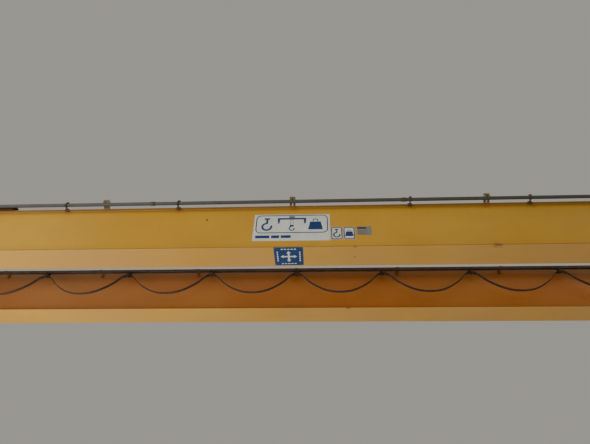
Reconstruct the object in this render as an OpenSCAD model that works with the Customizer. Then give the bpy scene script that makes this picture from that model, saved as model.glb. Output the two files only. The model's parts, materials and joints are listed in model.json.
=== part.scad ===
// Double-girder overhead bridge crane, parked trolley, hook raised
// X runs along the span, Y along the runway, Z is up
// The floor of the model is the lowest point of the wheel flanges

/* [Bridge] */
// Distance between the two runway rails
span = 14000; // [12000:100:18000]
// Distance between the girder centres, also the trolley gauge
gauge = 1200; // [1100:10:1500]
// Height of the wheel flanges' lowest point under the girders
girder_clear = 90; // [60:5:140]

/* [Box girders] */
// Depth of a girder between its ends
girder_h = 645; // [560:5:800]
// Width of the top and bottom flanges
flange_w = 335; // [320:5:400]
// Thickness of the top flange
top_flange_t = 12; // [8:1:20]
// Thickness of the bottom flange
bottom_flange_t = 10; // [8:1:20]
// Thickness of the side webs
web_t = 6; // [5:1:10]
// How far a flange stands out past the web
flange_lip = 22; // [12:1:30]
// Length over which the underside rises to the seat
taper_l = 650; // [400:10:900]
// How far a girder reaches past the runway rail
girder_reach = 100; // [70:5:105]
// Thickness of the plates that close the girder ends
end_plate_t = 8; // [6:1:12]

/* [Trolley rails] */
// Width and height of the square rail bar
rail_s = 40; // [30:1:60]
// Distance from the runway rail to the end of a trolley rail
rail_setback = 330; // [250:10:600]
// Height of a trolley end stop over the flange
stop_h = 150; // [130:5:200]

/* [End carriages] */
// Width of an end carriage
carriage_w = 220; // [190:5:300]
// Height of an end carriage
carriage_h = 260; // [220:5:320]
// Length of an end carriage
carriage_l = 2840; // [2600:10:3200]
// Thickness of the carriage plates
carriage_t = 10; // [8:1:14]
// Distance from the floor of the model to the carriage's underside
carriage_clear = 70; // [50:5:100]
// Distance between the wheels of one carriage
wheelbase = 2300; // [2150:10:2400]
// Thickness of the seat plate under a girder end
seat_t = 15; // [8:1:25]
// Length of a rubber buffer
buffer_l = 80; // [50:5:120]
// Diameter of a rubber buffer
buffer_d = 110; // [80:5:160]

/* [Runway wheels] */
// Diameter of the wheel tread
tread_d = 200; // [180:5:220]
// Height of the wheel flanges over the tread
wheel_rim = 15; // [10:1:18]
// Width of the tread between the flanges
tread_w = 60; // [50:1:70]
// Thickness of one wheel flange
rim_t = 15; // [10:1:18]
// Diameter of the wheel axle
axle_d = 60; // [40:1:70]
// Diameter of the bearing caps
cap_d = 130; // [110:5:150]
// Thickness of the bearing caps
cap_t = 16; // [10:1:30]

/* [Travel drive] */
// Diameter of the motor body
drive_motor_d = 150; // [110:5:170]
// Length of the motor body
drive_motor_l = 280; // [200:10:400]
// Length of the gearbox along the axle
drive_gear_l = 110; // [80:5:160]

/* [Festoon] */
// Width of the cable rail
crail_w = 40; // [36:1:50]
// Height of the cable rail
crail_h = 34; // [32:1:45]
// Wall of the cable rail
crail_wall = 3; // [2:0.5:4]
// Width of the slot in the rail's underside
crail_slot = 14; // [12:1:18]
// Distance from the girder web to the rail's middle
crail_off = 85; // [70:1:100]
// Distance from the girder's top down to the cable rail
crail_drop = 65; // [50:1:120]
// Distance between two rail brackets
bracket_pitch = 1365; // [900:5:1500]
// Number of rail brackets each side of mid-span
bracket_n = 4; // [2:1:4]
// Width of the carriers' cable saddle
saddle_w = 104; // [98:2:130]

/* [Conduit] */
// Outer diameter of the conduit on the front girder
pipe_d = 42; // [30:1:48]
// Wall of the conduit
pipe_wall = 3; // [2:0.5:5]
// Distance from the flange edge out to the conduit's middle
pipe_reach = 45; // [40:1:80]
// Thickness of the arms that the conduit lies on
arm_t = 8; // [5:0.5:12]
// Length of the conduit
pipe_l = 13000; // [11000:100:13200]
// Distance between two arms
stand_pitch = 1380; // [1000:10:1450]
// Number of arms each side of mid-span
stand_n = 4; // [2:1:4]
// Distance between two clamp blocks
clamp_pitch = 2270; // [1900:10:2600]
// Number of clamp blocks each side of mid-span
clamp_n = 2; // [1:1:2]
// Width of the cable trunking behind the conduit
trunk_w = 60; // [30:1:70]
// Height of the cable trunking
trunk_h = 50; // [40:1:76]
// Length of the cable trunking
trunk_l = 2940; // [2000:10:3300]
// Distance from the left runway rail to the cable trunking
trunk_setback = 600; // [400:10:900]

/* [Plates] */
// Width of the large sign plate
sign_w = 877; // [600:1:950]
// Height of the large sign plate
sign_h = 412; // [300:1:440]
// Lean of the large sign plate
sign_lean = 0.2; // [0:0.1:2]
// Width of one small sign plate
small_w = 127; // [80:1:140]
// Height of one small sign plate
small_h = 186; // [150:1:220]
// Width of the rating plate
rating_w = 162; // [100:1:170]
// Height of the rating plate
rating_h = 128; // [80:1:150]
// Width of the travel sign under the front girder, along the span
travel_w = 324; // [200:2:360]
// Depth of the travel sign across the flange
travel_s = 312; // [200:2:320]
// Thickness of all sign plates
plate_t = 2; // [1:0.5:4]

/* [Trolley] */
// Distance from the left runway rail to the parked trolley's middle
trolley_x = 1590; // [1500:5:1700]
// Length of the trolley frame
trolley_l = 1500; // [1460:10:1520]
// Distance between the trolley wheels along a rail
trolley_base = 1100; // [1000:10:1120]
// Width of a trolley side beam
side_w = 110; // [104:1:130]
// Height of the trolley side beams
side_h = 180; // [170:5:220]
// Wall of the trolley beams
side_t = 8; // [6:1:10]
// Width of a trolley cross beam
cross_w = 100; // [80:5:120]
// Height of a trolley cross beam
cross_h = 140; // [120:5:160]
// Tread diameter of the trolley wheels
trolley_tread_d = 160; // [150:5:170]
// Width of the trolley wheel treads
trolley_tread_w = 46; // [42:1:50]

/* [Hoist] */
// Outer diameter of the rope drum
drum_d = 300; // [240:5:320]
// Length of the rope drum
drum_l = 860; // [700:10:900]
// Diameter of the hoist rope
rope_d = 12; // [10:1:14]
// Pitch diameter of the block sheaves
sheave_d = 250; // [220:5:270]
// Height of the sheave centre over the floor of the model
block_z = 470; // [455:5:520]
// Diameter of the hoist motor
hoist_motor_d = 220; // [180:5:240]
// Length of the hoist motor
hoist_motor_l = 420; // [300:10:480]

/* [Control cabinet] */
// Width of the control cabinet
cabinet_w = 800; // [500:10:900]
// Depth of the control cabinet
cabinet_d = 220; // [150:10:300]
// Height of the control cabinet
cabinet_h = 540; // [400:10:580]
// Distance from the right runway rail to the control cabinet
cabinet_x = 1100; // [900:10:2000]

/* [Hidden] */
$fn = 48;

// Clearance between a shaft or pipe and the hole around it
fit = 0.2;
// Clearance between the cable and the saddle under it
lay = 0.3;
// How far a seat plate stands out past the flange above it
seat_lip = 30;
// Middle of the large sign and of the travel sign along the span
sign_x = -4;
travel_x = -34;
// Gaps before the first small plate, between the two and before the rating plate
sign_gap = 8;
small_gap = 13;
rating_gap = 24;
// Distances from the girder's top to the middles of the plates
sign_drop = 328;
small_drop = 429;
rating_drop = 396;

// Heights
girder_top = girder_clear + girder_h;
seat_z = carriage_clear + carriage_h + seat_t;
rail_top = girder_top + rail_s;
wheel_r = tread_d / 2 + wheel_rim;
carriage_mid = carriage_clear + carriage_h / 2;

// Girder outline along the span
half_l = span / 2 + girder_reach;
seat_x = span / 2 - carriage_w / 2 - 30;
deep_x = seat_x - taper_l;

// The parked trolley along the span, its end cross beams clear of the wheel drive,
// and the festoon's tow arm on the right cross beam
trolley_mid = -span / 2 + trolley_x;
trolley_half = trolley_l / 2;
drive_half = 65;
cross_gap = 35;
cross_x = trolley_base / 2 + drive_half + cross_gap;
tow_x = trolley_mid + cross_x + cross_w;
tow_s = 40;

// Places across the span
front_y = -gauge / 2;
rear_y = gauge / 2;
web_off = flange_w / 2 - flange_lip;
front_face = front_y - web_off;
front_edge = front_y - flange_w / 2;
rear_inner_face = rear_y - web_off;
rear_outer_face = rear_y + web_off;

// Steel colours
yellow = [0.86, 0.62, 0.16];
dark = [0.2, 0.2, 0.2];
steel = [0.55, 0.55, 0.54];
rubber = [0.08, 0.08, 0.08];

module box(low, high) {
    translate(low) cube(high - low);
}

// A cylinder whose axis lies along X, from x0 to x1
module rod_x(d, x0, x1, y, z) {
    translate([x0, y, z]) rotate([0, 90, 0]) cylinder(d = d, h = x1 - x0);
}

// A cylinder whose axis lies along Y, from y0 to y1
module rod_y(d, y0, y1, x, z) {
    translate([x, y0, z]) rotate([-90, 0, 0]) cylinder(d = d, h = y1 - y0);
}

// Lower outline of a girder, lifted by a distance, as points along the span
function underside(lift) = [
    [-half_l, seat_z + lift], [-seat_x, seat_z + lift], [-deep_x, girder_clear + lift],
    [deep_x, girder_clear + lift], [seat_x, seat_z + lift], [half_l, seat_z + lift]
];
function reversed(list) = [for (i = [len(list) - 1 : -1 : 0]) list[i]];

// Extrudes an outline of the X-Z plane towards +Y, from y0 over a thickness
module along_y(y0, thickness, outline) {
    translate([0, y0 + thickness, 0]) rotate([90, 0, 0])
        linear_extrude(thickness) polygon(outline);
}

module top_flange(y) {
    color(yellow)
        box([-half_l, y - flange_w / 2, girder_top - top_flange_t],
            [half_l, y + flange_w / 2, girder_top]);
}

module bottom_flange(y) {
    color(yellow)
        along_y(y - flange_w / 2, flange_w,
                concat(underside(0), reversed(underside(bottom_flange_t))));
}

// side is -1 for the web at the front of a girder and 1 for the one behind
module web(y, side) {
    top = girder_top - top_flange_t;
    outline = concat(underside(bottom_flange_t), [[half_l, top], [-half_l, top]]);
    color(yellow)
        along_y(side < 0 ? y - web_off : y + web_off - web_t, web_t, outline);
}

module girder_end_plates() {
    inner = web_off - web_t;
    color(yellow)
        for (y = [front_y, rear_y], sx = [-1, 1]) {
            x = sx < 0 ? -half_l : half_l - end_plate_t;
            box([x, y - inner, seat_z + bottom_flange_t],
                [x + end_plate_t, y + inner, girder_top - top_flange_t]);
        }
}

module girder_seat_plates() {
    color(yellow)
        for (y = [front_y, rear_y], sx = [-1, 1])
            translate([sx * span / 2, y, seat_z - seat_t / 2])
                cube([carriage_w, flange_w + 2 * seat_lip, seat_t], center = true);
}

module trolley_rails() {
    end = span / 2 - rail_setback;
    color(steel)
        for (y = [front_y, rear_y])
            box([-end, y - rail_s / 2, girder_top], [end, y + rail_s / 2, rail_top]);
}

// Gusseted stop with a rubber face, at each end of both rails
module trolley_end_stops() {
    end = span / 2 - rail_setback;
    plate = 12;
    foot = 130;
    color(yellow)
        for (y = [front_y, rear_y], sx = [-1, 1])
            translate([sx * end, y, girder_top]) mirror([sx < 0 ? 1 : 0, 0, 0]) {
                box([0, -60, 0], [plate, 60, stop_h]);
                box([0, -60, 0], [foot, 60, plate]);
                for (gusset = [-44, 32])
                    along_y(gusset, plate, [[0, 0], [foot, 0], [foot, plate], [plate, stop_h]]);
            }
}

module end_carriage(side) {
    x = side * span / 2;
    slot = tread_d + 2 * wheel_rim + 30;
    color(yellow)
        difference() {
            translate([x, 0, carriage_mid]) cube([carriage_w, carriage_l, carriage_h], center = true);
            translate([x, 0, carriage_mid])
                cube([carriage_w - 2 * carriage_t, carriage_l - 2 * carriage_t,
                      carriage_h - 2 * carriage_t], center = true);
            for (sy = [-1, 1]) {
                translate([x, sy * wheelbase / 2, carriage_clear])
                    cube([carriage_w - 2 * carriage_t, slot, 4 * carriage_t], center = true);
                rod_x(axle_d + 2 * fit, x - carriage_w, x + carriage_w, sy * wheelbase / 2, wheel_r);
            }
        }
}

// Double-flanged wheel with its axle, turned about X
module runway_wheel(x, y) {
    half = tread_w / 2 + rim_t;
    translate([x, y, wheel_r]) rotate([0, 90, 0]) {
        difference() {
            union() {
                cylinder(d = tread_d, h = 2 * half, center = true, $fn = 96);
                for (sz = [-1, 1])
                    translate([0, 0, sz * (half - rim_t / 2)])
                        cylinder(r = wheel_r, h = rim_t, center = true, $fn = 96);
            }
            for (sz = [-1, 1])
                translate([0, 0, sz * half]) difference() {
                    cylinder(d = tread_d - 44, h = rim_t * 2, center = true);
                    cylinder(d = axle_d + 40, h = rim_t * 4, center = true);
                }
        }
        cylinder(d = axle_d, h = carriage_w, center = true);
    }
}

module drive_wheels() {
    color(steel) for (sx = [-1, 1]) runway_wheel(sx * span / 2, wheelbase / 2);
}

module idler_wheels() {
    color(steel) for (sx = [-1, 1]) runway_wheel(sx * span / 2, -wheelbase / 2);
}

// Caps on the outer sides, and on the inner sides of the idler wheels
module wheel_bearing_caps() {
    color(dark)
        for (sx = [-1, 1], sy = [-1, 1]) {
            face = sx * (span / 2 + carriage_w / 2);
            inner = sx * (span / 2 - carriage_w / 2);
            y = sy * wheelbase / 2;
            rod_x(cap_d, min(face, face + sx * cap_t), max(face, face + sx * cap_t), y, wheel_r);
            if (sy < 0)
                rod_x(cap_d, min(inner, inner - sx * cap_t), max(inner, inner - sx * cap_t),
                      y, wheel_r);
        }
}

// Gearbox and motor on the inner side of a carriage, pointing at mid-span
module travel_drive(side) {
    gear_top = wheel_r + 120;
    motor_z = wheel_r + 55;
    color(dark)
        translate([side * (span / 2 - carriage_w / 2), wheelbase / 2, 0])
            mirror([side > 0 ? 1 : 0, 0, 0]) {
                rod_x(150, 0, drive_gear_l, 0, wheel_r);
                box([0, -75, wheel_r], [drive_gear_l, 75, gear_top]);
                rod_x(drive_motor_d, drive_gear_l, drive_gear_l + drive_motor_l, 0, motor_z);
                rod_x(drive_motor_d + 10, drive_gear_l + drive_motor_l,
                      drive_gear_l + drive_motor_l + 60, 0, motor_z);
                box([drive_gear_l + 50, -45, motor_z + drive_motor_d / 2 - 12],
                    [drive_gear_l + 160, 45, motor_z + drive_motor_d / 2 + 50]);
            }
}

module carriage_buffers() {
    color(rubber)
        for (sx = [-1, 1], sy = [-1, 1]) {
            y = sy * carriage_l / 2;
            tip = y + sy * buffer_l;
            rod_y(buffer_d, min(y, tip), max(y, tip), sx * span / 2, carriage_mid);
        }
}

// Festoon rail, its brackets and the carriers under it
crail_y = rear_inner_face - crail_off;
crail_top = girder_top - crail_drop;
crail_z = crail_top - crail_h;
crail_x0 = -span / 2 + 300;
crail_x1 = span / 2 - 330;
bracket_w = 40;
bracket_t = 6;
bracket_drop = 54;

module festoon_rail() {
    inner = crail_w - 2 * crail_wall;
    color([0.45, 0.35, 0.26])
        difference() {
            box([crail_x0, crail_y - crail_w / 2, crail_z], [crail_x1, crail_y + crail_w / 2, crail_top]);
            box([crail_x0 - 1, crail_y - inner / 2, crail_z + crail_wall],
                [crail_x1 + 1, crail_y + inner / 2, crail_top - crail_wall]);
            box([crail_x0 - 1, crail_y - crail_slot / 2, crail_z - 1],
                [crail_x1 + 1, crail_y + crail_slot / 2, crail_z + 2 * crail_wall]);
        }
}

module festoon_brackets() {
    color(dark)
        for (i = [-bracket_n : bracket_n]) {
            x = i * bracket_pitch - bracket_w / 2;
            box([x, crail_y - crail_w / 2, crail_top],
                [x + bracket_w, rear_inner_face, crail_top + bracket_t]);
            box([x, rear_inner_face - bracket_t, crail_top - bracket_drop],
                [x + bracket_w, rear_inner_face, crail_top + bracket_t]);
        }
}

// Route of the flat cable: the tow end before the first carrier, one loop from a
// carrier to the next, and the feed end after the last loop, each as distances
// along the span from its carrier and down from the rail's underside
cable_w = 38;
cable_t = 10;
loop_pitch = 1160;
tow_end = [[-160, -115], [-110, -104], [-50, -56]];
loop_points = [[0, -34], [50, -56], [190, -190], [440, -326], [720, -326], [970, -190], [1110, -56]];
feed_end = [[0, -34], [50, -56], [160, -150], [290, -215], [410, -215], [540, -150],
            [650, -56], [700, -34], [750, -56], [810, -104], [860, -115]];
end_clamp = 700;
feed_setback = 340;
loop_x0 = tow_x + tow_s / 2;
feed_l = feed_end[len(feed_end) - 1].x;
loop_count = floor((span / 2 - feed_setback - feed_l - loop_x0 + 1) / loop_pitch);
loop_x1 = loop_x0 + loop_count * loop_pitch;
cable_route = concat(
    [for (p = tow_end) p + [loop_x0, 0]],
    [for (i = [0 : loop_count - 1]) for (p = loop_points) p + [loop_x0 + i * loop_pitch, 0]],
    [for (p = feed_end) p + [loop_x1, 0]]
);
carrier_x = concat([for (i = [0 : loop_count]) loop_x0 + i * loop_pitch], [loop_x1 + end_clamp]);

// Outline of the flat cable, across Y and along the route's normal, edges rounded off
cable_outline = [
    [cable_w / 2, -cable_t / 4], [cable_w / 2, cable_t / 4], [cable_w / 2 - 3, cable_t / 2],
    [-cable_w / 2 + 3, cable_t / 2], [-cable_w / 2, cable_t / 4], [-cable_w / 2, -cable_t / 4],
    [-cable_w / 2 + 3, -cable_t / 2], [cable_w / 2 - 3, -cable_t / 2]
];

function heading(route, i) =
    let (a = route[max(i - 1, 0)], b = route[min(i + 1, len(route) - 1)])
    (b - a) / norm(b - a);

// One polyhedron swept along the route, an outline at each route point
module swept_cable(route, outline) {
    n = len(outline);
    m = len(route);
    points = [
        for (i = [0 : m - 1]) let (t = heading(route, i))
            for (c = outline)
                [route[i].x - t.y * c.y, crail_y + c.x, crail_z + route[i].y + t.x * c.y]
    ];
    sides = [
        for (i = [0 : m - 2], k = [0 : n - 1])
            [i * n + k, i * n + (k + 1) % n, (i + 1) * n + (k + 1) % n, (i + 1) * n + k]
    ];
    first = [for (k = [n - 1 : -1 : 0]) k];
    last = [for (k = [0 : n - 1]) (m - 1) * n + k];
    polyhedron(points = points, faces = concat(sides, [first], [last]));
}

module festoon_cable() {
    color([0.2, 0.21, 0.22]) swept_cable(cable_route, cable_outline);
}

// Carrier: rollers in the rail, a neck through the slot, a clamp body, two
// cheeks beside the cable and the saddle that the cable lies on
module festoon_carriers() {
    body_l = 60;
    body_h = 20;
    body_gap = 3;
    cheek_t = 5;
    cheek_y = cable_w / 2 + 2;
    cheek_l = 44;
    crown = loop_points[0].y - cable_t / 2 - lay;
    shoulder = loop_points[1] - [3, cable_t / 2 + lay];
    saddle_foot = crown - 45;
    roller_d = crail_h - 2 * crail_wall - 6;
    roller_in = crail_w / 2 - crail_wall - 2;
    neck_w = crail_slot - 4;
    color(dark)
        for (x = carrier_x) translate([x, crail_y, crail_z]) {
            for (dx = [-18, 18])
                rod_y(roller_d, -roller_in, roller_in, dx, crail_wall + fit + roller_d / 2);
            box([-cheek_l / 2, -neck_w / 2, -body_gap - 1],
                [cheek_l / 2, neck_w / 2, crail_wall + roller_d / 2]);
            box([-body_l / 2, -cheek_y - cheek_t, -body_h - body_gap],
                [body_l / 2, cheek_y + cheek_t, -body_gap]);
            for (y = [-cheek_y - cheek_t, cheek_y])
                box([-cheek_l / 2, y, saddle_foot], [cheek_l / 2, y + cheek_t, -body_gap - 1]);
            along_y(-cheek_y, 2 * cheek_y,
                    [[0, crown], shoulder, [saddle_w / 2, shoulder.y - 8], [saddle_w / 2, saddle_foot],
                     [-saddle_w / 2, saddle_foot], [-saddle_w / 2, shoulder.y - 8],
                     [-shoulder.x, shoulder.y]]);
        }
}

// Terminal box on the rear girder where the cable goes in
gland_l = 22;
gland_w = cable_w + 12;
gland_h = cable_t + 20;
feed_x = loop_x1 + feed_l;
gland_z = crail_z + feed_end[len(feed_end) - 1].y;
module festoon_feed_box() {
    color([0.6, 0.6, 0.6]) {
        box([feed_x + gland_l, crail_y - 45, gland_z - 90],
            [feed_x + gland_l + 130, rear_inner_face, gland_z + 60]);
        box([feed_x, crail_y - gland_w / 2, gland_z - gland_h / 2],
            [feed_x + gland_l, crail_y + gland_w / 2, gland_z + gland_h / 2]);
    }
}

// Conduit in front of the front girder's top flange, in rings let into the arms
ring_t = 4;
pipe_y = front_edge - pipe_reach;
pipe_z = girder_top + arm_t + ring_t / 2 + pipe_d / 2;
trunk_x0 = -span / 2 + trunk_setback;
trunk_x1 = trunk_x0 + trunk_l;

module cable_conduit() {
    color([0.5, 0.49, 0.47])
        difference() {
            rod_x(pipe_d, -pipe_l / 2, pipe_l / 2, pipe_y, pipe_z);
            rod_x(pipe_d - 2 * pipe_wall, -pipe_l / 2 - 1, pipe_l / 2 + 1, pipe_y, pipe_z);
        }
}

// Arms on the flange that reach out under the conduit, each with a jaw below the
// flange edge, an upright tip in front and a ring with an ear around the conduit
module conduit_stands() {
    ring_l = 18;
    arm_w = 18;
    arm_in = 25;
    tip_t = 5;
    jaw_l = 50;
    jaw_t = 7;
    low = girder_top - top_flange_t - jaw_t;
    color([0.3, 0.24, 0.18])
        for (i = [-stand_n : stand_n]) if (i != 0) {
            x = i * stand_pitch;
            tip_y = pipe_y - pipe_d / 2 - ring_t / 2;
            box([x - arm_w / 2, tip_y, girder_top], [x + arm_w / 2, front_edge + arm_in, girder_top + arm_t]);
            box([x - arm_w / 2, tip_y - tip_t, girder_top], [x + arm_w / 2, tip_y, pipe_z + 8]);
            box([x - jaw_l / 2, front_edge - jaw_t, low], [x + jaw_l / 2, front_edge, girder_top + arm_t]);
            box([x - jaw_l / 2, front_edge - jaw_t, low],
                [x + jaw_l / 2, front_edge + flange_lip - 4, low + jaw_t]);
            difference() {
                rod_x(pipe_d + 2 * ring_t, x - ring_l / 2, x + ring_l / 2, pipe_y, pipe_z);
                rod_x(pipe_d + 2 * fit, x - ring_l, x + ring_l, pipe_y, pipe_z);
            }
            box([x - ring_l / 2, pipe_y - 18, pipe_z + pipe_d / 2 + 1],
                [x + ring_l / 2 + 15, pipe_y, pipe_z + pipe_d / 2 + 14]);
        }
}

// Clamp blocks over the conduit, each on two legs that stand on the flange edge
// behind it, none where the trunking runs
module conduit_clamps() {
    block_l = 68;
    leg_w = 27;
    half = pipe_d / 2 + 5;
    foot = pipe_y - front_edge;
    rise = pipe_z - girder_top;
    color(yellow)
        for (i = [-clamp_n : clamp_n]) {
            x = i * clamp_pitch;
            if (x - block_l / 2 > trunk_x1) {
                box([x - block_l / 2, pipe_y - half, pipe_z + pipe_d / 2 + 2],
                    [x + block_l / 2, pipe_y + half, pipe_z + pipe_d / 2 + 35]);
                difference() {
                    for (dx = [-block_l / 2, block_l / 2 - leg_w])
                        translate([x + dx, pipe_y, pipe_z]) rotate([90, 0, 90])
                            linear_extrude(leg_w)
                                polygon([[-half, -3], [half - 3, -3], [-foot, -rise], [30 - foot, -rise],
                                         [30 - foot, 10 - rise], [half, pipe_d / 2 + 9],
                                         [half, pipe_d / 2 + 12], [-half, pipe_d / 2 + 12]]);
                    rod_x(pipe_d + 2 * fit, x - block_l, x + block_l, pipe_y, pipe_z);
                }
            }
        }
}

// Trunking on the left arms, close behind the conduit
module cable_trunking() {
    y = pipe_y + pipe_d / 2 + 5;
    z = girder_top + arm_t;
    color([0.25, 0.17, 0.12])
        box([trunk_x0, y, z], [trunk_x1, y + trunk_w, z + trunk_h]);
}

module web_plate(x, drop, w, h, lean) {
    translate([x, front_face - plate_t / 2, girder_top - drop])
        rotate([0, lean, 0]) cube([w, plate_t, h], center = true);
}

module large_sign_plate() {
    color([0.9, 0.9, 0.88]) web_plate(sign_x, sign_drop, sign_w, sign_h, sign_lean);
}

small_x = sign_x + sign_w / 2 + sign_gap + small_w / 2;
small_step = small_w + small_gap;
module small_sign_plates() {
    color([0.9, 0.9, 0.88])
        for (x = [small_x, small_x + small_step])
            web_plate(x, small_drop, small_w, small_h, 0);
}

module rating_plate() {
    x = small_x + small_step + (small_w + rating_w) / 2 + rating_gap;
    color([0.75, 0.75, 0.74]) web_plate(x, rating_drop, rating_w, rating_h, 0);
}

module travel_sign() {
    y = front_y - 8;
    color([0.1, 0.28, 0.5])
        box([travel_x - travel_w / 2, y - travel_s / 2, girder_clear - plate_t],
            [travel_x + travel_w / 2, y + travel_s / 2, girder_clear]);
}

// Trolley frame of two side beams and three cross beams
side_z0 = rail_top + 30;
side_z1 = side_z0 + side_h;
cross_z1 = side_z1 - 10;
cross_z0 = cross_z1 - cross_h;
trolley_wheel_z = rail_top + trolley_tread_d / 2;
trolley_axle_d = 40;
trolley_rim = 15;
cross_in = gauge / 2 - side_w / 2;
drum_z = side_z1 + 150;
rope_r = rope_d / 2;
drop_x = trolley_mid - drum_d / 2 - rope_r;
hook_x = drop_x + sheave_d / 2;
hook_y = -40;
fall_off = 45;
anchor_x = hook_x + sheave_d / 2;
anchor_w = 80;

module beam(low, high) {
    difference() {
        box(low, high);
        box(low + [side_t, side_t, side_t], high - [side_t, side_t, side_t]);
    }
}

module trolley_frame() {
    slot = trolley_tread_d + 2 * trolley_rim + 20;
    color(yellow) {
        for (y = [front_y, rear_y])
            difference() {
                beam([trolley_mid - trolley_half, y - side_w / 2, side_z0],
                     [trolley_mid + trolley_half, y + side_w / 2, side_z1]);
                for (sx = [-1, 1]) translate([trolley_mid + sx * trolley_base / 2, 0, 0]) {
                    translate([0, y, side_z0])
                        cube([slot, side_w - 2 * side_t, 4 * side_t], center = true);
                    rod_y(trolley_axle_d + 2 * fit, y - side_w, y + side_w, 0, trolley_wheel_z);
                }
            }
        for (x = [trolley_mid - cross_x - cross_w, trolley_mid + cross_x])
            beam([x, -cross_in, cross_z0], [x + cross_w, cross_in, cross_z1]);
        beam([anchor_x - anchor_w / 2, -cross_in, cross_z0],
             [anchor_x + anchor_w / 2, cross_in, cross_z0 + anchor_w]);
    }
}

module trolley_wheels() {
    rim = 14;
    wide = trolley_tread_w + 2 * rim;
    color(steel)
        for (y = [front_y, rear_y], sx = [-1, 1])
            translate([trolley_mid + sx * trolley_base / 2, y, trolley_wheel_z]) rotate([90, 0, 0]) {
                cylinder(d = trolley_tread_d, h = wide, center = true, $fn = 96);
                for (sz = [-1, 1])
                    translate([0, 0, sz * (wide - rim) / 2])
                        cylinder(r = trolley_tread_d / 2 + trolley_rim, h = rim, center = true, $fn = 96);
                cylinder(d = trolley_axle_d, h = side_w + 20, center = true);
            }
}

// Gearmotor at the inner end of the rear side beam's right wheel
module trolley_drive() {
    x = trolley_mid + trolley_base / 2;
    gear_y = cross_in;
    tip = -10;
    color(dark) {
        difference() {
            box([x - drive_half, gear_y - 90, trolley_wheel_z - 65],
                [x + drive_half, gear_y, trolley_wheel_z + 120]);
            rod_y(trolley_axle_d + 2 * fit, gear_y - 12, gear_y + 1, x, trolley_wheel_z);
        }
        rod_y(120, gear_y - 90 - 230, gear_y - 90, x, trolley_wheel_z + 55);
        rod_y(128, gear_y - 90 - 270, gear_y - 90 - 230, x, trolley_wheel_z + 55);
    }
}

drum_y0 = hook_y - drum_l / 2;
drum_y1 = hook_y + drum_l / 2;
drum_flange_t = 14;
shaft_d = 70;

module hoist_drum() {
    color(steel) {
        rod_y(drum_d, drum_y0, drum_y1, trolley_mid, drum_z, $fn = 96);
        for (y = [drum_y0 - drum_flange_t, drum_y1])
            rod_y(drum_d + 60, y, y + drum_flange_t, trolley_mid, drum_z, $fn = 96);
        rod_y(shaft_d, front_y - 40, rear_y - 100, trolley_mid, drum_z);
    }
}

// Pedestal bearing of the drum on the front side beam
module drum_bearing() {
    color(dark)
        difference() {
            union() {
                box([trolley_mid - 130, front_y - 35, side_z1],
                    [trolley_mid + 130, front_y + 35, side_z1 + 25]);
                box([trolley_mid - 80, front_y - 30, side_z1], [trolley_mid + 80, front_y + 30, drum_z]);
                rod_y(160, front_y - 30, front_y + 30, trolley_mid, drum_z);
            }
            rod_y(shaft_d + 2 * fit, front_y - 60, front_y + 60, trolley_mid, drum_z);
        }
}

gear_l = 190;
gear_y0 = rear_y - 100;
motor_x = trolley_mid + 330;
module hoist_gearbox() {
    color(dark) {
        box([trolley_mid - 170, gear_y0, side_z1], [motor_x + 150, gear_y0 + gear_l, drum_z]);
        rod_y(340, gear_y0, gear_y0 + gear_l, trolley_mid, drum_z);
        rod_y(300, gear_y0, gear_y0 + gear_l, motor_x, drum_z);
        box([trolley_mid, gear_y0, drum_z], [motor_x, gear_y0 + gear_l, drum_z + 150]);
    }
}

module hoist_motor() {
    y1 = gear_y0;
    y0 = y1 - hoist_motor_l;
    color(dark) {
        rod_y(hoist_motor_d, y0, y1, motor_x, drum_z);
        rod_y(hoist_motor_d + 14, y0 - 70, y0, motor_x, drum_z);
        box([motor_x - 70, y0 + 120, drum_z], [motor_x + 70, y0 + 260, drum_z + hoist_motor_d / 2 + 55]);
    }
}

// Each rope falls from the drum, turns under a sheave and rises to the anchor beam
module hoist_ropes() {
    color([0.35, 0.34, 0.33])
        for (sy = [-1, 1]) {
            y = hook_y + sy * fall_off;
            translate([drop_x, y, block_z]) cylinder(d = rope_d, h = drum_z - block_z, $fn = 24);
            translate([anchor_x, y, block_z]) cylinder(d = rope_d, h = cross_z0 - block_z, $fn = 24);
            translate([hook_x, y, block_z]) rotate([-90, 0, 0])
                rotate_extrude(angle = 180, $fn = 96)
                    translate([sheave_d / 2, 0]) circle(d = rope_d, $fn = 24);
        }
}

block_half = fall_off + 30;
block_plate_t = 10;
hook_top = block_z - sheave_d / 2 - 40;

// Two sheaves between cover plates, over a crosshead
module hook_block() {
    rim_d = sheave_d + rope_d + 10;
    color([0.8, 0.6, 0.12]) translate([hook_x, hook_y, block_z]) {
        for (sy = [-1, 1]) {
            rod_y(sheave_d - rope_d - 0.6, sy * fall_off - 7.5, sy * fall_off + 7.5, 0, 0, $fn = 96);
            for (side = [-1, 1])
                rod_y(rim_d, sy * fall_off + side * 11 - 3.5, sy * fall_off + side * 11 + 3.5,
                      0, 0, $fn = 96);
        }
        for (y = [-block_half, block_half - block_plate_t])
            hull() {
                rod_y(rim_d + 20, y, y + block_plate_t, 0, 0, $fn = 32);
                box([-60, y, hook_top - block_z - 10], [60, y + block_plate_t, hook_top - block_z + 30]);
            }
        rod_y(60, -block_half - 12, block_half + 12, 0, 0);
        box([-60, -block_half + block_plate_t, hook_top - block_z - 10],
            [60, block_half - block_plate_t, -sheave_d / 2 - rope_d]);
    }
}

hook_r = 62;
hook_section = 48;

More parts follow.
